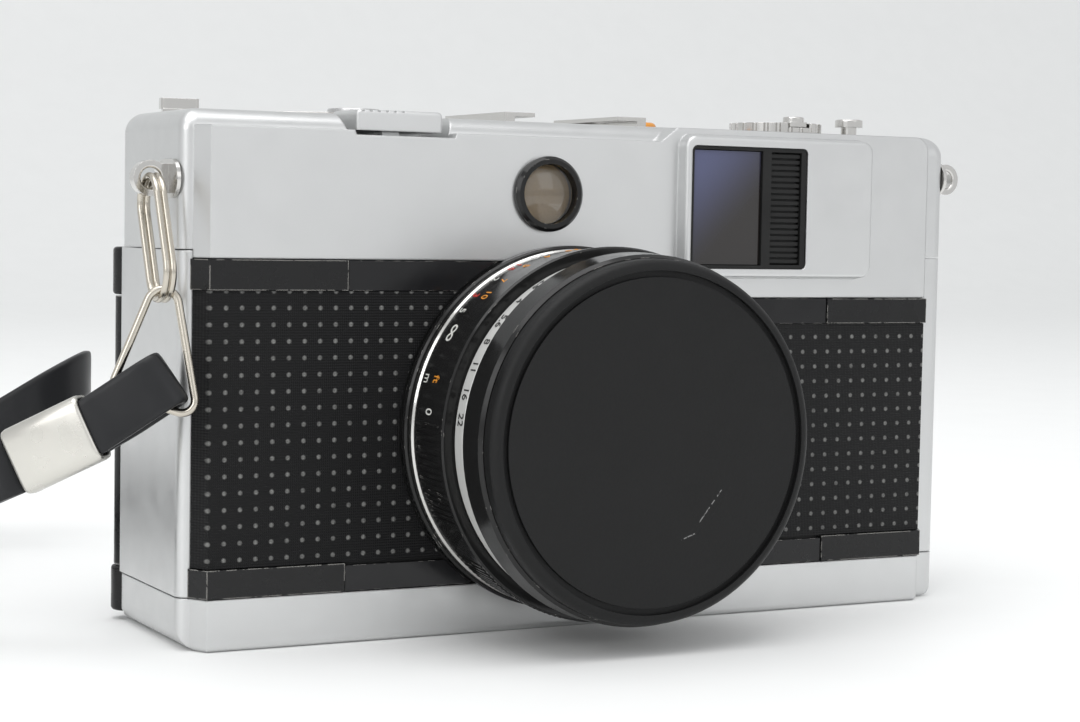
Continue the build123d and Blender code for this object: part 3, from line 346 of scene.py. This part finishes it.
@dataclass(frozen=True)
class Plastic:
    """Moulded plastic or vinyl with a leather-like grain."""

    name: str
    colour: Colour
    rough: tuple[float, float]
    grain: float
    grain_height: float
    scratches: tuple[tuple[Point, Point], ...] = ()
    coat: float = 0.0
    shine: float = 0.22
    round_edges: float = 0.00015
    scratch_half_width: float = 0.00007
    scratch_colour: Colour = (0.22, 0.22, 0.22)

    def build(self) -> bpy.types.Material:
        """Make the material.

        Returns:
            The finished material.
        """
        board = NodeBoard(self.name)
        cells = board.noise(self.grain, 3.0)
        large = board.noise(self.grain / 14, 3.0)
        dark = tuple(c * 0.75 for c in self.colour)
        pale = tuple(c * 1.3 for c in self.colour)
        tone = board.mix(large, "Fac", dark, pale)
        last, out = tone, 2
        for start, end in self.scratches:
            mark = self._scratch(board, Vector(start), Vector(end))
            light = board.add("ShaderNodeMix", data_type="RGBA")
            light.inputs[7].default_value = (*self.scratch_colour, 1)
            board.join(last, out, light, 6)
            board.join(mark, 0, light, 0)
            last, out = light, 2
        board.join(last, out, board.shader, "Base Color")
        rough = board.ramp(large, "Fac", ((0.3, self.rough[0]), (0.7, self.rough[1])))
        board.join(rough, "Color", board.shader, "Roughness")
        board.set(Coat_Weight=self.coat, Coat_Roughness=0.2, Specular_IOR_Level=self.shine)
        board.bump(cells, "Fac", self.grain_height, self.round_edges)
        return board.material

    def _scratch(self, board: NodeBoard, start: Vector, end: Vector) -> bpy.types.Node:
        """A mask of one thin straight scratch across the front.

        Args:
            board: the material's nodes.
            start: where it begins, in metres.
            end: where it ends.

        Returns:
            The node whose first output is the mask.
        """
        run = (end - start).normalized()
        side = Vector((-run.z, 0, run.x))
        middle = (start + end) / 2
        reads = []
        for way, limit in ((run, (end - start).length / 2), (side, self.scratch_half_width)):
            offset = board.add("ShaderNodeVectorMath", operation="SUBTRACT")
            offset.inputs[1].default_value = middle
            board.join(board.place, "Object", offset, 0)
            along = board.add("ShaderNodeVectorMath", operation="DOT_PRODUCT")
            along.inputs[1].default_value = way
            board.join(offset, 0, along, 0)
            size = board.calc("ABSOLUTE", (along, "Value"), None)
            reads.append(board.calc("LESS_THAN", (size, 0), limit))
        both = board.calc("MULTIPLY", (reads[0], 0), (reads[1], 0))
        broken = board.noise(2500.0, 3.0)
        some = board.calc("GREATER_THAN", (broken, "Fac"), 0.47)
        return board.calc("MULTIPLY", (both, 0), (some, 0))


@dataclass(frozen=True)
class Glass:
    """Glass, clear or dark and coated, its colour turning to a painted reflection colour towards its upper
    left.
    """

    name: str
    colour: Colour
    clear: float
    # colour of a painted reflection, reached towards the upper left
    tint: Colour
    # Z minus X in metres over which the colour turns into the painted reflection
    reflection_fade: tuple[float, float] = (0.0335, 0.0500)

    def build(self) -> bpy.types.Material:
        """Make the material.

        Returns:
            The finished material.
        """
        board = NodeBoard(self.name)
        board.set(Transmission_Weight=self.clear, IOR=1.5, Coat_Weight=0.4, Coat_Roughness=0.02)
        split = board.add("ShaderNodeSeparateXYZ")
        board.join(board.place, "Object", split, "Vector")
        # painted reflection: the colour turns to the tint towards the upper left, where Z minus X is large
        slope = board.calc("SUBTRACT", (split, "Z"), (split, "X"))
        reflection_fade = board.add("ShaderNodeMapRange", interpolation_type="SMOOTHSTEP")
        reflection_fade.inputs["From Min"].default_value = self.reflection_fade[0]
        reflection_fade.inputs["From Max"].default_value = self.reflection_fade[1]
        board.join(slope, 0, reflection_fade, "Value")
        tone = board.mix(reflection_fade, 0, self.colour, self.tint)
        board.join(tone, 2, board.shader, "Base Color")
        smear = board.noise(300.0, 3.0)
        rough = board.ramp(smear, "Fac", ((0.4, 0.01), (0.8, 0.05)))
        board.join(rough, "Color", board.shader, "Roughness")
        return board.material


@dataclass(frozen=True)
class Ink:
    """Paint that fills an engraved mark."""

    name: str
    colour: Colour

    def build(self) -> bpy.types.Material:
        """Make the material.

        Returns:
            The finished material.
        """
        board = NodeBoard(self.name)
        rub = board.noise(3000.0, 3.0)
        tone = board.mix(rub, "Fac", tuple(c * 0.6 for c in self.colour), self.colour)
        board.join(tone, 2, board.shader, "Base Color")
        board.set(Roughness=0.6)
        return board.material


class Look(Enum):
    """Every finish of the camera, by the maker's name for it."""

    SATIN_CHROME = Metal("satin_chrome", (0.66, 0.665, 0.665), (0.30, 0.40), 6000.0, 9e-6, 0.0003)
    APERTURE_SILVER = Metal(
        "aperture_silver", (0.60, 0.60, 0.585), (0.38, 0.48), 9000.0, 2e-6, 0.00015, 0.2,
    )
    BRIGHT_METAL = Metal("bright_metal", (0.64, 0.63, 0.61), (0.10, 0.22), 5000.0, 1e-6)
    NICKEL = Metal("warm_nickel", (0.58, 0.54, 0.47), (0.10, 0.26), 3500.0, 2e-6, 0.0001)
    SLEEVE_NICKEL = Metal("sleeve_nickel", (0.66, 0.645, 0.60), (0.24, 0.34), 2500.0, 3e-6, 0.0003)
    STEEL = Metal("steel", (0.60, 0.60, 0.60), (0.22, 0.34))
    BRASS = Metal("brass", (0.70, 0.54, 0.26), (0.22, 0.36))
    MATT_BLACK = Metal("matt_black", (0.02, 0.02, 0.02), (0.55, 0.7), metallic=0.0)
    TRIM = Lacquer("trim_black", (0.006, 0.006, 0.0065), (0.22, 0.36), 0.56, 0.00022, 0.80)
    GLOSSY_TRIM = Lacquer("trim_gloss_black", (0.010, 0.010, 0.011), (0.10, 0.24), 0.45, 0.0001, 0.82)
    ENAMEL = Lacquer("enamel_black", (0.010, 0.010, 0.010), (0.12, 0.25), 0.38, 0.00012, 0.84)
    LEATHERETTE = Leatherette()
    CAP = Plastic(
        "cap_plastic", (0.0085, 0.0086, 0.0088), (0.40, 0.52), 2300.0, 4.5e-5,
        (
            ((0.0010, -0.0386, 0.0165), (0.0042, -0.0386, 0.0205)),
            ((-0.0015, -0.0386, 0.0145), (0.0005, -0.0386, 0.0152)),
        ),
    )
    PLASTIC = Plastic("black_plastic", (0.014, 0.014, 0.014), (0.3, 0.45), 3000.0, 4e-6)
    VINYL = Plastic("strap_vinyl", (0.016, 0.0165, 0.018), (0.30, 0.42), 2200.0, 8e-6, (), 0.1)
    LAMP = Plastic("lamp_amber", (0.65, 0.28, 0.06), (0.1, 0.2), 900.0, 1e-6)
    CELL = Plastic("meter_cell", (0.30, 0.22, 0.12), (0.25, 0.5), 1500.0, 3e-5)
    # the finder window's tint is a painted blue-violet reflection in its upper left
    FINDER_GLASS = Glass("finder_glass", (0.020, 0.017, 0.016), 0.0, (0.085, 0.095, 0.19))
    DOME_GLASS = Glass("dome_glass", (1.0, 0.98, 0.95), 1.0, (1.0, 0.98, 0.95))
    # the lens glass's tint is a painted reflection in its upper left
    DARK_GLASS = Glass("lens_glass", (0.01, 0.01, 0.02), 0.0, (0.03, 0.02, 0.06))
    WHITE_INK = Ink("white_ink", (0.80, 0.80, 0.76))
    ORANGE_INK = Ink("orange_ink", (0.85, 0.33, 0.03))
    RED_INK = Ink("red_ink", (0.72, 0.03, 0.02))
    BLACK_INK = Ink("black_ink", (0.012, 0.012, 0.012))


class Paintbox:
    """Builds each finish once and hands it out."""

    def __init__(self) -> None:
        """Start with nothing mixed."""
        self._made: dict[Look, bpy.types.Material] = {}

    def get(self, look: Look) -> bpy.types.Material:
        """The material of a finish.

        Args:
            look: the finish.

        Returns:
            Its material.
        """
        if look not in self._made:
            self._made[look] = look.value.build()
        return self._made[look]

    def dress(self, look: Look, *nodes: str) -> None:
        """Give CAD nodes a finish.

        Args:
            look: the finish.
            *nodes: names of the nodes.
        """
        for node in nodes:
            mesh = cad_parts[node].data
            mesh.materials.clear()
            mesh.materials.append(self.get(look))


PAINT = Paintbox()


def object_from(
    name: str, bm: bmesh.types.BMesh, material: bpy.types.Material, smooth: bool = True,
) -> bpy.types.Object:
    """Make an object from a bmesh and free the bmesh.

    Args:
        name: the object's name.
        bm: its mesh.
        material: its finish.
        smooth: whether faces are shaded smooth.

    Returns:
        The object.
    """
    bmesh.ops.recalc_face_normals(bm, faces=bm.faces)
    mesh = bpy.data.meshes.new(name)
    bm.to_mesh(mesh)
    bm.free()
    for face in mesh.polygons:
        face.use_smooth = smooth
    mesh.materials.append(material)
    return place_in_scene(name, mesh)


def place_in_scene(name: str, data: bpy.types.ID | None) -> bpy.types.Object:
    """Make an object of some data and add it to the scene.

    Args:
        name: the object's name.
        data: its mesh, curve, lamp or camera.

    Returns:
        The object.
    """
    made = bpy.data.objects.new(name, data)
    bpy.context.scene.collection.objects.link(made)
    return made


def turned(columns: tuple[Vector, Vector, Vector]) -> Matrix:
    """The turn whose X, Y and Z axes are the three columns."""
    return Matrix([[column[i] for column in columns] for i in range(3)]).to_4x4()


def smooth_line(name: str, points: list[Vector]) -> list[Vector]:
    """Points along the smooth line that a row of control points gives.

    Args:
        name: what the line is for.
        points: the control points, in metres.

    Returns:
        The line's points, in metres.
    """
    data = bpy.data.curves.new(name, "CURVE")
    data.dimensions = "3D"
    spline = data.splines.new("NURBS")
    spline.points.add(len(points) - 1)
    for point, place in zip(spline.points, points):
        point.co = (*place, 1)
    spline.order_u = 3
    spline.use_endpoint_u = True
    spline.resolution_u = 8
    line = place_in_scene(name, data)
    mesh = bpy.data.meshes.new_from_object(line)
    found = [vertex.co.copy() for vertex in mesh.vertices]
    bpy.data.objects.remove(line)
    bpy.data.meshes.remove(mesh)
    return found


def heading(path: list[Vector], index: int) -> Vector:
    """The way a path runs at one of its points."""
    return (path[min(index + 1, len(path) - 1)] - path[max(index - 1, 0)]).normalized()


def rounded_ring(
    centre: Vector, wide: Vector, deep: Vector, steps: int, square: tuple[float, float],
) -> list[Vector]:
    """Corners of a flat section with rounded edges.

    Args:
        centre: its middle.
        wide: from the middle to the edge of its width.
        deep: from the middle to its face.
        steps: how many corners.
        square: powers that square off the width and the depth, squarer when smaller.

    Returns:
        The corners in order.
    """
    ring = []
    for step in range(steps):
        angle = math.tau * step / steps
        c, s = math.cos(angle), math.sin(angle)
        across = math.copysign(abs(s) ** square[0], s)
        through = math.copysign(abs(c) ** square[1], c)
        ring.append(centre + wide * across + deep * through)
    return ring


def skin(bm: bmesh.types.BMesh, rings: list[list[Vector]]) -> list[list[bmesh.types.BMVert]]:
    """Join sections with faces, one after the other.

    Args:
        bm: the mesh that takes them.
        rings: the sections' corners, in metres.

    Returns:
        The new vertices, section by section.
    """
    rows = [[bm.verts.new(corner) for corner in ring] for ring in rings]
    for first, second in zip(rows, rows[1:]):
        for a in range(len(first)):
            b = (a + 1) % len(first)
            bm.faces.new((first[a], first[b], second[b], second[a]))
    return rows


def band(name: str, rings: list[list[Vector]]) -> bpy.types.Object:
    """A vinyl band over a row of sections, closed at both ends.

    Args:
        name: the object's name.
        rings: the sections' corners, in metres.

    Returns:
        The band.
    """
    bm = bmesh.new()
    rows = skin(bm, rings)
    bm.faces.new(rows[0][::-1])
    bm.faces.new(rows[-1])
    return object_from(name, bm, PAINT.get(Look.VINYL))


# ------------------------------------------------------------------ view and light
@dataclass(frozen=True)
class Panel:
    """A soft square light."""

    name: str
    place: Point
    size: float
    power: float
    aim: Point = (0.0, 0.0, 0.03)

    def hang(self) -> None:
        """Hang the light and point it at the camera body."""
        data = bpy.data.lights.new(self.name, "AREA")
        data.size = self.size
        data.energy = self.power
        light = place_in_scene(self.name, data)
        light.location = self.place
        way = Vector(self.aim) - Vector(self.place)
        light.rotation_euler = way.to_track_quat("-Z", "Y").to_euler()


@dataclass
class Studio:
    """The camera, a pale floor and soft light."""

    place: Point = (-0.14913, -0.27880, 0.05333)
    right: Point = (0.88390, -0.46732, 0.01825)
    up: Point = (0.01211, 0.06188, 0.99801)
    ahead: Point = (0.46752, 0.88192, -0.06036)
    lens: float = 76.47
    sensor: float = 36.0
    room_colour: Colour = (0.98, 0.99, 1.0)
    room_strength: float = 0.80
    panels: tuple[Panel, ...] = (
        Panel("top_panel", (-0.15, -0.10, 0.75), 0.7, 3.2),
        Panel("left_panel", (-0.75, -0.45, 0.40), 0.5, 1.6),
        Panel("front_panel", (0.35, -0.85, 0.45), 0.5, 0.6),
    )
    floor_front: float = -1.2
    floor_back: float = 0.9
    floor_sweep: float = 0.5
    floor_half_width: float = 2.5
    wall_foot: float = 1.42
    wall_top: float = 1.8

    def build(self) -> None:
        """Set up the view, the floor and the lights."""
        bpy.context.scene.view_settings.view_transform = "Standard"
        self._camera()
        self._floor()
        self._lights()

    def _camera(self) -> None:
        """Place the camera."""
        data = bpy.data.cameras.new("view")
        data.lens = self.lens
        data.sensor_width = self.sensor
        data.clip_start = 0.01
        made = place_in_scene("view", data)
        turn = turned((Vector(self.right), Vector(self.up), -Vector(self.ahead)))
        made.matrix_world = Matrix.Translation(self.place) @ turn
        bpy.context.scene.camera = made

    def _floor(self) -> None:
        """Lay a floor that sweeps up behind the object."""
        back, sweep = self.floor_back, self.floor_sweep
        profile = [(self.floor_front, 0.0), (back, 0.0)]
        for step in range(1, 8):
            angle = 0.2 * step
            profile.append((back + sweep * math.sin(angle), sweep - sweep * math.cos(angle)))
        profile.append((self.wall_foot, self.wall_top))
        bm = bmesh.new()
        half = self.floor_half_width
        rows = [[bm.verts.new((x, y, z)) for x in (-half, half)] for y, z in profile]
        for low, high in zip(rows, rows[1:]):
            bm.faces.new((low[0], low[1], high[1], high[0]))
        board = NodeBoard("floor_paper")
        fibre = board.noise(60.0, 3.0)
        tone = board.mix(fibre, "Fac", (0.90, 0.905, 0.90), (0.93, 0.935, 0.93))
        board.join(tone, 2, board.shader, "Base Color")
        board.set(Roughness=0.55)
        object_from("floor_sweep", bm, board.material)

    def _lights(self) -> None:
        """Hang soft lights in a pale surrounding."""
        world = bpy.data.worlds.new("pale_room")
        world.use_nodes = True
        back = world.node_tree.nodes["Background"]
        back.inputs["Color"].default_value = (*self.room_colour, 1)
        back.inputs["Strength"].default_value = self.room_strength
        bpy.context.scene.world = world
        for panel in self.panels:
            panel.hang()


# ------------------------------------------------------------------ strap
@dataclass
class WristStrap:
    """The flat vinyl loop that hangs on the triangle ring."""

    width: float = 7.2 * MM
    thick: float = 1.5 * MM
    corners: int = 28
    square: tuple[float, float] = (0.22, 0.55)
    route: tuple[Point, ...] = (
        (-76.71, -9.35, 23.57), (-85.8, -2.0, 18.3), (-96.8, 7.5, 12.3), (-106.8, 16.2, 8.4),
        (-114.5, 27.7, 5.7), (-118.5, 41.4, 4.2), (-118.5, 55.9, 3.9), (-114.2, 70.1, 3.9),
        (-105.7, 82.3, 3.9), (-93.8, 91.3, 4.6), (-79.6, 96.0, 7.8), (-65.8, 95.9, 12.3),
        (-54.5, 93.0, 17.2), (-42.5, 87.5, 24.7), (-40.4, 81.5, 27.9), (-43.3, 75.7, 27.9),
        (-49.5, 73.6, 24.7), (-60.4, 78.6, 17.2), (-68.3, 80.8, 12.3), (-78.0, 81.4, 7.8),
        (-88.6, 79.0, 4.6), (-98.2, 73.4, 3.9), (-106.0, 65.0, 3.9), (-109.6, 53.6, 3.9),
        (-110.3, 41.8, 4.2), (-107.8, 30.0, 5.7), (-102.5, 19.8, 8.4), (-94.1, 10.5, 12.3),
        (-86.0, 0.2, 17.6), (-75.8, -8.2, 23.57),
    )

    def build(self) -> None:
        path = smooth_line("strap_route", [Vector(place) * MM for place in self.route])
        strap = band("strap_band", self._sections(path))
        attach(strap, "strap")
        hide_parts("wrist_strap")

    def _sections(self, path: list[Vector]) -> list[list[Vector]]:
        """Sections of the strap, which stands on its edge all along its path.

        Args:
            path: its centre line.

        Returns:
            The corners of each section.
        """
        rings = []
        for index, here in enumerate(path):
            run = heading(path, index)
            side = run.cross(Vector((0, 0, 1))).normalized()
            rise = side.cross(run).normalized()
            wide, deep = rise * (self.width / 2), side * (self.thick / 2)
            rings.append(rounded_ring(here, wide, deep, self.corners, self.square))
        return rings


@dataclass
class StrapEnd:
    """The sleeve, the end fold round the triangle ring, and the rings."""

    mouth: Point = (-68.9, -14.7, 28.2)
    tail: Point = (-76.2, -8.8, 23.6)
    fold_rise: float = 0.175
    fold_thick: float = 1.35
    fold_half_width: float = 3.45
    fold_corners: int = 24
    fold_square: tuple[float, float] = (0.22, 0.55)
    # how far out of the sleeve and across it, in mm
    fold_line: tuple[tuple[float, float], ...] = (
        (-0.8, -0.8), (0.6, -0.5), (2.6, 0.3), (5.6, 1.15), (8.0, 1.9), (9.6, 2.8), (9.95, 4.1),
        (9.1, 5.3), (7.4, 5.15), (5.2, 4.5), (3.2, 3.8), (1.6, 2.7), (0.6, 1.5), (-0.8, 0.8),
    )
    sleeve_half: tuple[float, float] = (4.2, 2.15)
    sleeve_wall: float = 0.45
    sleeve_lip: float = 0.12
    sleeve_corners: int = 32
    sleeve_square: tuple[float, float] = (0.35, 0.6)

    def build(self) -> None:
        """Make the fold and the sleeve, and dress the rings."""
        mouth, tail = Vector(self.mouth), Vector(self.tail)
        along = (mouth - tail).normalized()
        across = Vector((-along.y, along.x, 0)).normalized()
        up = along.cross(across)
        self._fold(mouth, along, across, up)
        self._sleeve(mouth, tail, across, up)
        PAINT.dress(Look.NICKEL, "split_ring", "triangle_ring")
        LOG.info("strap end")

    def _fold(self, mouth: Vector, along: Vector, across: Vector, up: Vector) -> None:
        """The band that folds round the triangle's lower bar.

        Args:
            mouth: the sleeve's open end, in mm.
            along: out of the sleeve.
            across: through the band's thickness.
            up: across the band's width.
        """
        run = (along + up * self.fold_rise).normalized()
        rise = run.cross(across).normalized()
        line = [(mouth + run * out + across * off) * MM for out, off in self.fold_line]
        path = smooth_line("fold_line", line)
        wide = rise * (self.fold_half_width * MM)
        rings = []
        for index, here in enumerate(path):
            deep = heading(path, index).cross(rise).normalized() * (self.fold_thick * MM / 2)
            rings.append(rounded_ring(here, wide, deep, self.fold_corners, self.fold_square))
        made = band("strap_fold", rings)
        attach(made, "strap")
        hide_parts("strap_end_loop")

    def _sleeve(self, mouth: Vector, tail: Vector, across: Vector, up: Vector) -> None:
        """The sheet metal sleeve, open at both ends, with bowed sides.

        Args:
            mouth: one end, in mm.
            tail: the other end.
            across: through its thickness.
            up: across its width.
        """
        bm = bmesh.new()
        outer = skin(bm, self._sleeve_rings(mouth, tail, across, up, 0.0))
        inner = skin(bm, self._sleeve_rings(mouth, tail, across, up, -self.sleeve_wall))
        for end in (0, -1):
            for a in range(self.sleeve_corners):
                b = (a + 1) % self.sleeve_corners
                bm.faces.new((outer[end][a], outer[end][b], inner[end][b], inner[end][a]))
        made = object_from("crimped_sleeve", bm, PAINT.get(Look.SLEEVE_NICKEL))
        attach(made, "strap")
        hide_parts("strap_sleeve")

    def _sleeve_rings(
        self, mouth: Vector, tail: Vector, across: Vector, up: Vector, grow: float,
    ) -> list[list[Vector]]:
        """Sections of one side of the sleeve's wall.

        Args:
            mouth: one end, in mm.
            tail: the other end.
            across: through its thickness.
            up: across its width.
            grow: how much wider than the outside, in mm.

        Returns:
            The corners of each section, in metres.
        """
        rings = []
        for share in (0.0, 0.04, 0.5, 0.96, 1.0):
            more = grow - (self.sleeve_lip if share in (0.0, 1.0) else 0.0)
            wide = up * ((self.sleeve_half[0] + more) * MM)
            deep = across * ((self.sleeve_half[1] + more) * MM)
            centre = tail.lerp(mouth, share) * MM
            rings.append(rounded_ring(centre, wide, deep, self.sleeve_corners, self.sleeve_square))
        return rings


# ------------------------------------------------------------------ body
@dataclass
class Body:
    """The metal body with its black covering and trim."""

    def build(self) -> None:
        """Dress the body's CAD pieces."""
        PAINT.dress(Look.SATIN_CHROME, "top_cover", "bottom_cover", "side_plate_left", "side_plate_right")
        PAINT.dress(Look.LEATHERETTE, "leatherette_left", "leatherette_right", "door_leatherette")
        PAINT.dress(Look.TRIM, "trim_upper_left", "trim_upper_right", "trim_lower_left", "trim_lower_right")
        PAINT.dress(
            Look.GLOSSY_TRIM, "trim_upper_left_inner", "trim_upper_right_inner",
            "trim_lower_left_inner", "trim_lower_right_inner",
        )
        PAINT.dress(Look.MATT_BLACK, "main_casting", "shutter_housing", "pressure_plate")
        PAINT.dress(Look.TRIM, "back_door", "hinge_blocks")
        PAINT.dress(Look.BRIGHT_METAL, "door_latch", "lug_left", "lug_right", "battery_cover")
        PAINT.dress(Look.STEEL, "hinge_pin", "bottom_screws", "rewind_release")
        PAINT.dress(Look.BRASS, "tripod_socket")
        PAINT.dress(Look.PLASTIC, "take_up_spool", "sprocket")
        LOG.info("body")


@dataclass
class Finder:
    """The viewfinder window, the eyepiece and the meter eye."""

    def build(self) -> None:
        """Dress the finder's CAD pieces."""
        PAINT.dress(Look.PLASTIC, "finder_bezel", "finder_ribs", "eyepiece")
        PAINT.dress(Look.FINDER_GLASS, "finder_window", "eyepiece_glass")
        PAINT.dress(Look.ENAMEL, "meter_ring")
        PAINT.dress(Look.DOME_GLASS, "meter_lens")
        PAINT.dress(Look.CELL, "meter_cell")
        LOG.info("finder")


@dataclass
class TopControls:
    """Release, lever, counter, shoe, lamp, rewind knob and check button."""

    counter: Point = (-46.5, 1.5, 66.2)
    counter_radius: float = 3.0
    counter_height: float = 1.1
    counter_numbers: tuple[str, ...] = ("S", "10", "20", "30", "40", "50", "60", "72")

    def build(self) -> None:
        """Dress the controls and number the counter."""
        PAINT.dress(Look.SATIN_CHROME, "release_button")
        PAINT.dress(
            Look.BRIGHT_METAL, "advance_lever", "accessory_shoe", "rewind_knob", "rewind_crank",
            "check_button",
        )
        PAINT.dress(Look.STEEL, "lever_screw", "shoe_screws")
        PAINT.dress(Look.PLASTIC, "counter_dial")
        PAINT.dress(Look.LAMP, "check_lamp")
        centre = Vector(self.counter) * MM
        for index, text in enumerate(self.counter_numbers):
            angle = math.tau * index / len(self.counter_numbers)
            out = Vector((math.cos(angle), math.sin(angle), 0))
            place = centre + out * self.counter_radius * MM
            mark = Mark(text, self.counter_height * MM, Look.WHITE_INK, "body")
            mark.put(place, Vector((0, 0, 1)), out, f"counter_{index}")
        LOG.info("top controls")


@dataclass
class Mark:
    """One painted numeral or sign."""

    text: str
    height: float
    look: Look
    body: str
    squeeze: float = 0.8
    cap_to_size: float = 1.4
    paint: float = 0.02 * MM
    lift: float = 0.01 * MM

    def put(self, place: Vector, outward: Vector, upward: Vector, name: str) -> None:
        """Lay the mark flat on a surface.

        Args:
            place: its middle, on the surface.
            outward: the surface's normal.
            upward: the way the mark's top points.
            name: the new piece's name.
        """
        data = bpy.data.curves.new(name, "FONT")
        data.body = self.text
        data.size = self.height * self.cap_to_size
        data.align_x = "CENTER"
        data.align_y = "CENTER"
        data.extrude = self.paint
        holder = place_in_scene(name, data)
        mesh = bpy.data.meshes.new_from_object(holder)
        bpy.data.objects.remove(holder)
        made = place_in_scene(name, mesh)
        right = upward.cross(outward).normalized()
        turn = turned((right * self.squeeze, upward.normalized(), outward.normalized()))
        mesh.transform(Matrix.Translation(place + outward * self.lift) @ turn)
        mesh.materials.clear()
        mesh.materials.append(PAINT.get(self.look))
        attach(made, self.body)


@dataclass
class Lens:
    """The lens with its rings, scales and cap."""

    axis_x: float = -5.3
    axis_z: float = 26.55
    # text, angle in degrees seen from the front, depth, height, finish
    distances: tuple[tuple[str, float, float, float, Look], ...] = (
        ("∞", 146.9, -20.9, 2.6, Look.WHITE_INK), ("5", 138.3, -19.3, 1.5, Look.WHITE_INK),
        ("3", 131.6, -19.1, 1.5, Look.RED_INK), ("10", 131.6, -22.4, 1.5, Look.ORANGE_INK),
        ("2", 123.4, -19.1, 1.5, Look.WHITE_INK), ("7", 124.5, -22.4, 1.5, Look.ORANGE_INK),
        ("1.5", 115.5, -19.1, 1.5, Look.RED_INK), ("5", 115.5, -22.4, 1.5, Look.ORANGE_INK),
        ("1.2", 106.5, -19.1, 1.5, Look.WHITE_INK), ("4", 107.5, -22.4, 1.5, Look.ORANGE_INK),
        ("1", 98.0, -19.1, 1.5, Look.WHITE_INK), ("3.5", 98.5, -22.4, 1.5, Look.ORANGE_INK),
        ("m", 162.4, -19.4, 1.5, Look.WHITE_INK), ("ft", 162.3, -22.5, 1.6, Look.ORANGE_INK),
        ("0", 172.4, -22.3, 1.7, Look.WHITE_INK),
    )
    apertures: tuple[tuple[str, float], ...] = (
        ("22", 173.2), ("16", 164.9), ("11", 156.1), ("8", 147.2), ("5.6", 139.1), ("4", 130.2),
        ("2.8", 121.4),
    )
    grips: tuple[tuple[float, float], ...] = ((176.0, 207.0), (222.0, 318.0))
    grip_pitch: float = 1.9
    # depth and radius of the grip's ends, and the ribs' height, in mm
    grip_ends: tuple[tuple[float, float], ...] = ((-19.0, 23.29), (-26.4, 23.82))
    grip_rise: float = 0.154
    grip_root: float = 0.1
    # the focus ring's front edge and the distance it flares over, in mm
    ring_start: float = -17.7
    ring_run: float = 9.8
    ring_radius: float = 23.23
    ring_flare: float = 0.7
    aperture_depth: float = -29.1
    aperture_radius: float = 22.42
    aperture_height: float = 1.35

    def build(self) -> None:
        """Dress the lens, paint its scales and cut its grips."""
        PAINT.dress(Look.ENAMEL, "lens_base_ring", "focus_ring", "front_barrel")
        PAINT.dress(Look.BRIGHT_METAL, "chrome_ring")
        PAINT.dress(Look.APERTURE_SILVER, "aperture_ring")
        PAINT.dress(Look.DARK_GLASS, "front_lens")
        PAINT.dress(Look.CAP, "lens_cap")
        for index, (text, angle, depth, height, look) in enumerate(self.distances):
            radius = self.ring_radius + self.ring_flare * (self.ring_start - depth) / self.ring_run
            self._mark(Mark(text, height * MM, look, "focus"), angle, depth, radius, f"distance_{index}")
        for index, (text, angle) in enumerate(self.apertures):
            mark = Mark(text, self.aperture_height * MM, Look.BLACK_INK, "aperture", squeeze=0.9)
            self._mark(mark, angle, self.aperture_depth, self.aperture_radius, f"aperture_{index}")
        self._grip()
        LOG.info("lens")

    def _place(self, angle: float, depth: float, radius: float) -> tuple[Vector, Vector]:
        """A point on a ring of the lens, and the way out from the axis there.

        Args:
            angle: degrees from the right, seen from the front.
            depth: Y in mm.
            radius: in mm.

        Returns:
            The point in metres, and the outward direction.
        """
        turn = math.radians(angle)
        out = Vector((math.cos(turn), 0, math.sin(turn)))
        centre = Vector((self.axis_x, depth, self.axis_z))
        return (centre + out * radius) * MM, out

    def _mark(self, mark: Mark, angle: float, depth: float, radius: float, name: str) -> None:
        """Put a mark on a ring, its top towards the front.

        Args:
            mark: the mark.
            angle: degrees from the right, seen from the front.
            depth: Y in mm.
            radius: in mm.
            name: the new piece's name.
        """
        place, out = self._place(angle, depth, radius)
        mark.put(place, out, Vector((0, -1, 0)), name)

    def _grip(self) -> None:
        """Fine ribs round the lower half of the focus ring."""
        bm = bmesh.new()
        for start, end in self.grips:
            angle = start
            while angle < end:
                self._rib(bm, angle)
                angle += self.grip_pitch
        made = object_from("focus_grip", bm, PAINT.get(Look.ENAMEL), smooth=False)
        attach(made, "focus")

    def _rib(self, bm: bmesh.types.BMesh, angle: float) -> None:
        """One rib with a rounded back.

        Args:
            bm: the mesh that takes it.
            angle: degrees from the right, seen from the front.
        """
        half = self.grip_pitch * 0.28
        low, high = -self.grip_root, self.grip_rise
        section = ((-half, low), (-half * 0.6, high), (half * 0.6, high), (half, low))
        rings = [
            [self._place(angle + turn, depth, base + rise)[0] for turn, rise in section]
            for depth, base in self.grip_ends
        ]
        ends = skin(bm, rings)
        bm.faces.new(ends[0][::-1])
        bm.faces.new(ends[1])


def main() -> None:
    """Build the scene piece by piece."""
    logging.basicConfig(level=logging.INFO, format="%(message)s")
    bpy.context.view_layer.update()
    Studio().build()
    WristStrap().build()
    for part in (StrapEnd(), Body(), Finder(), TopControls(), Lens()):
        part.build()


if __name__ == "__main__":
    main()
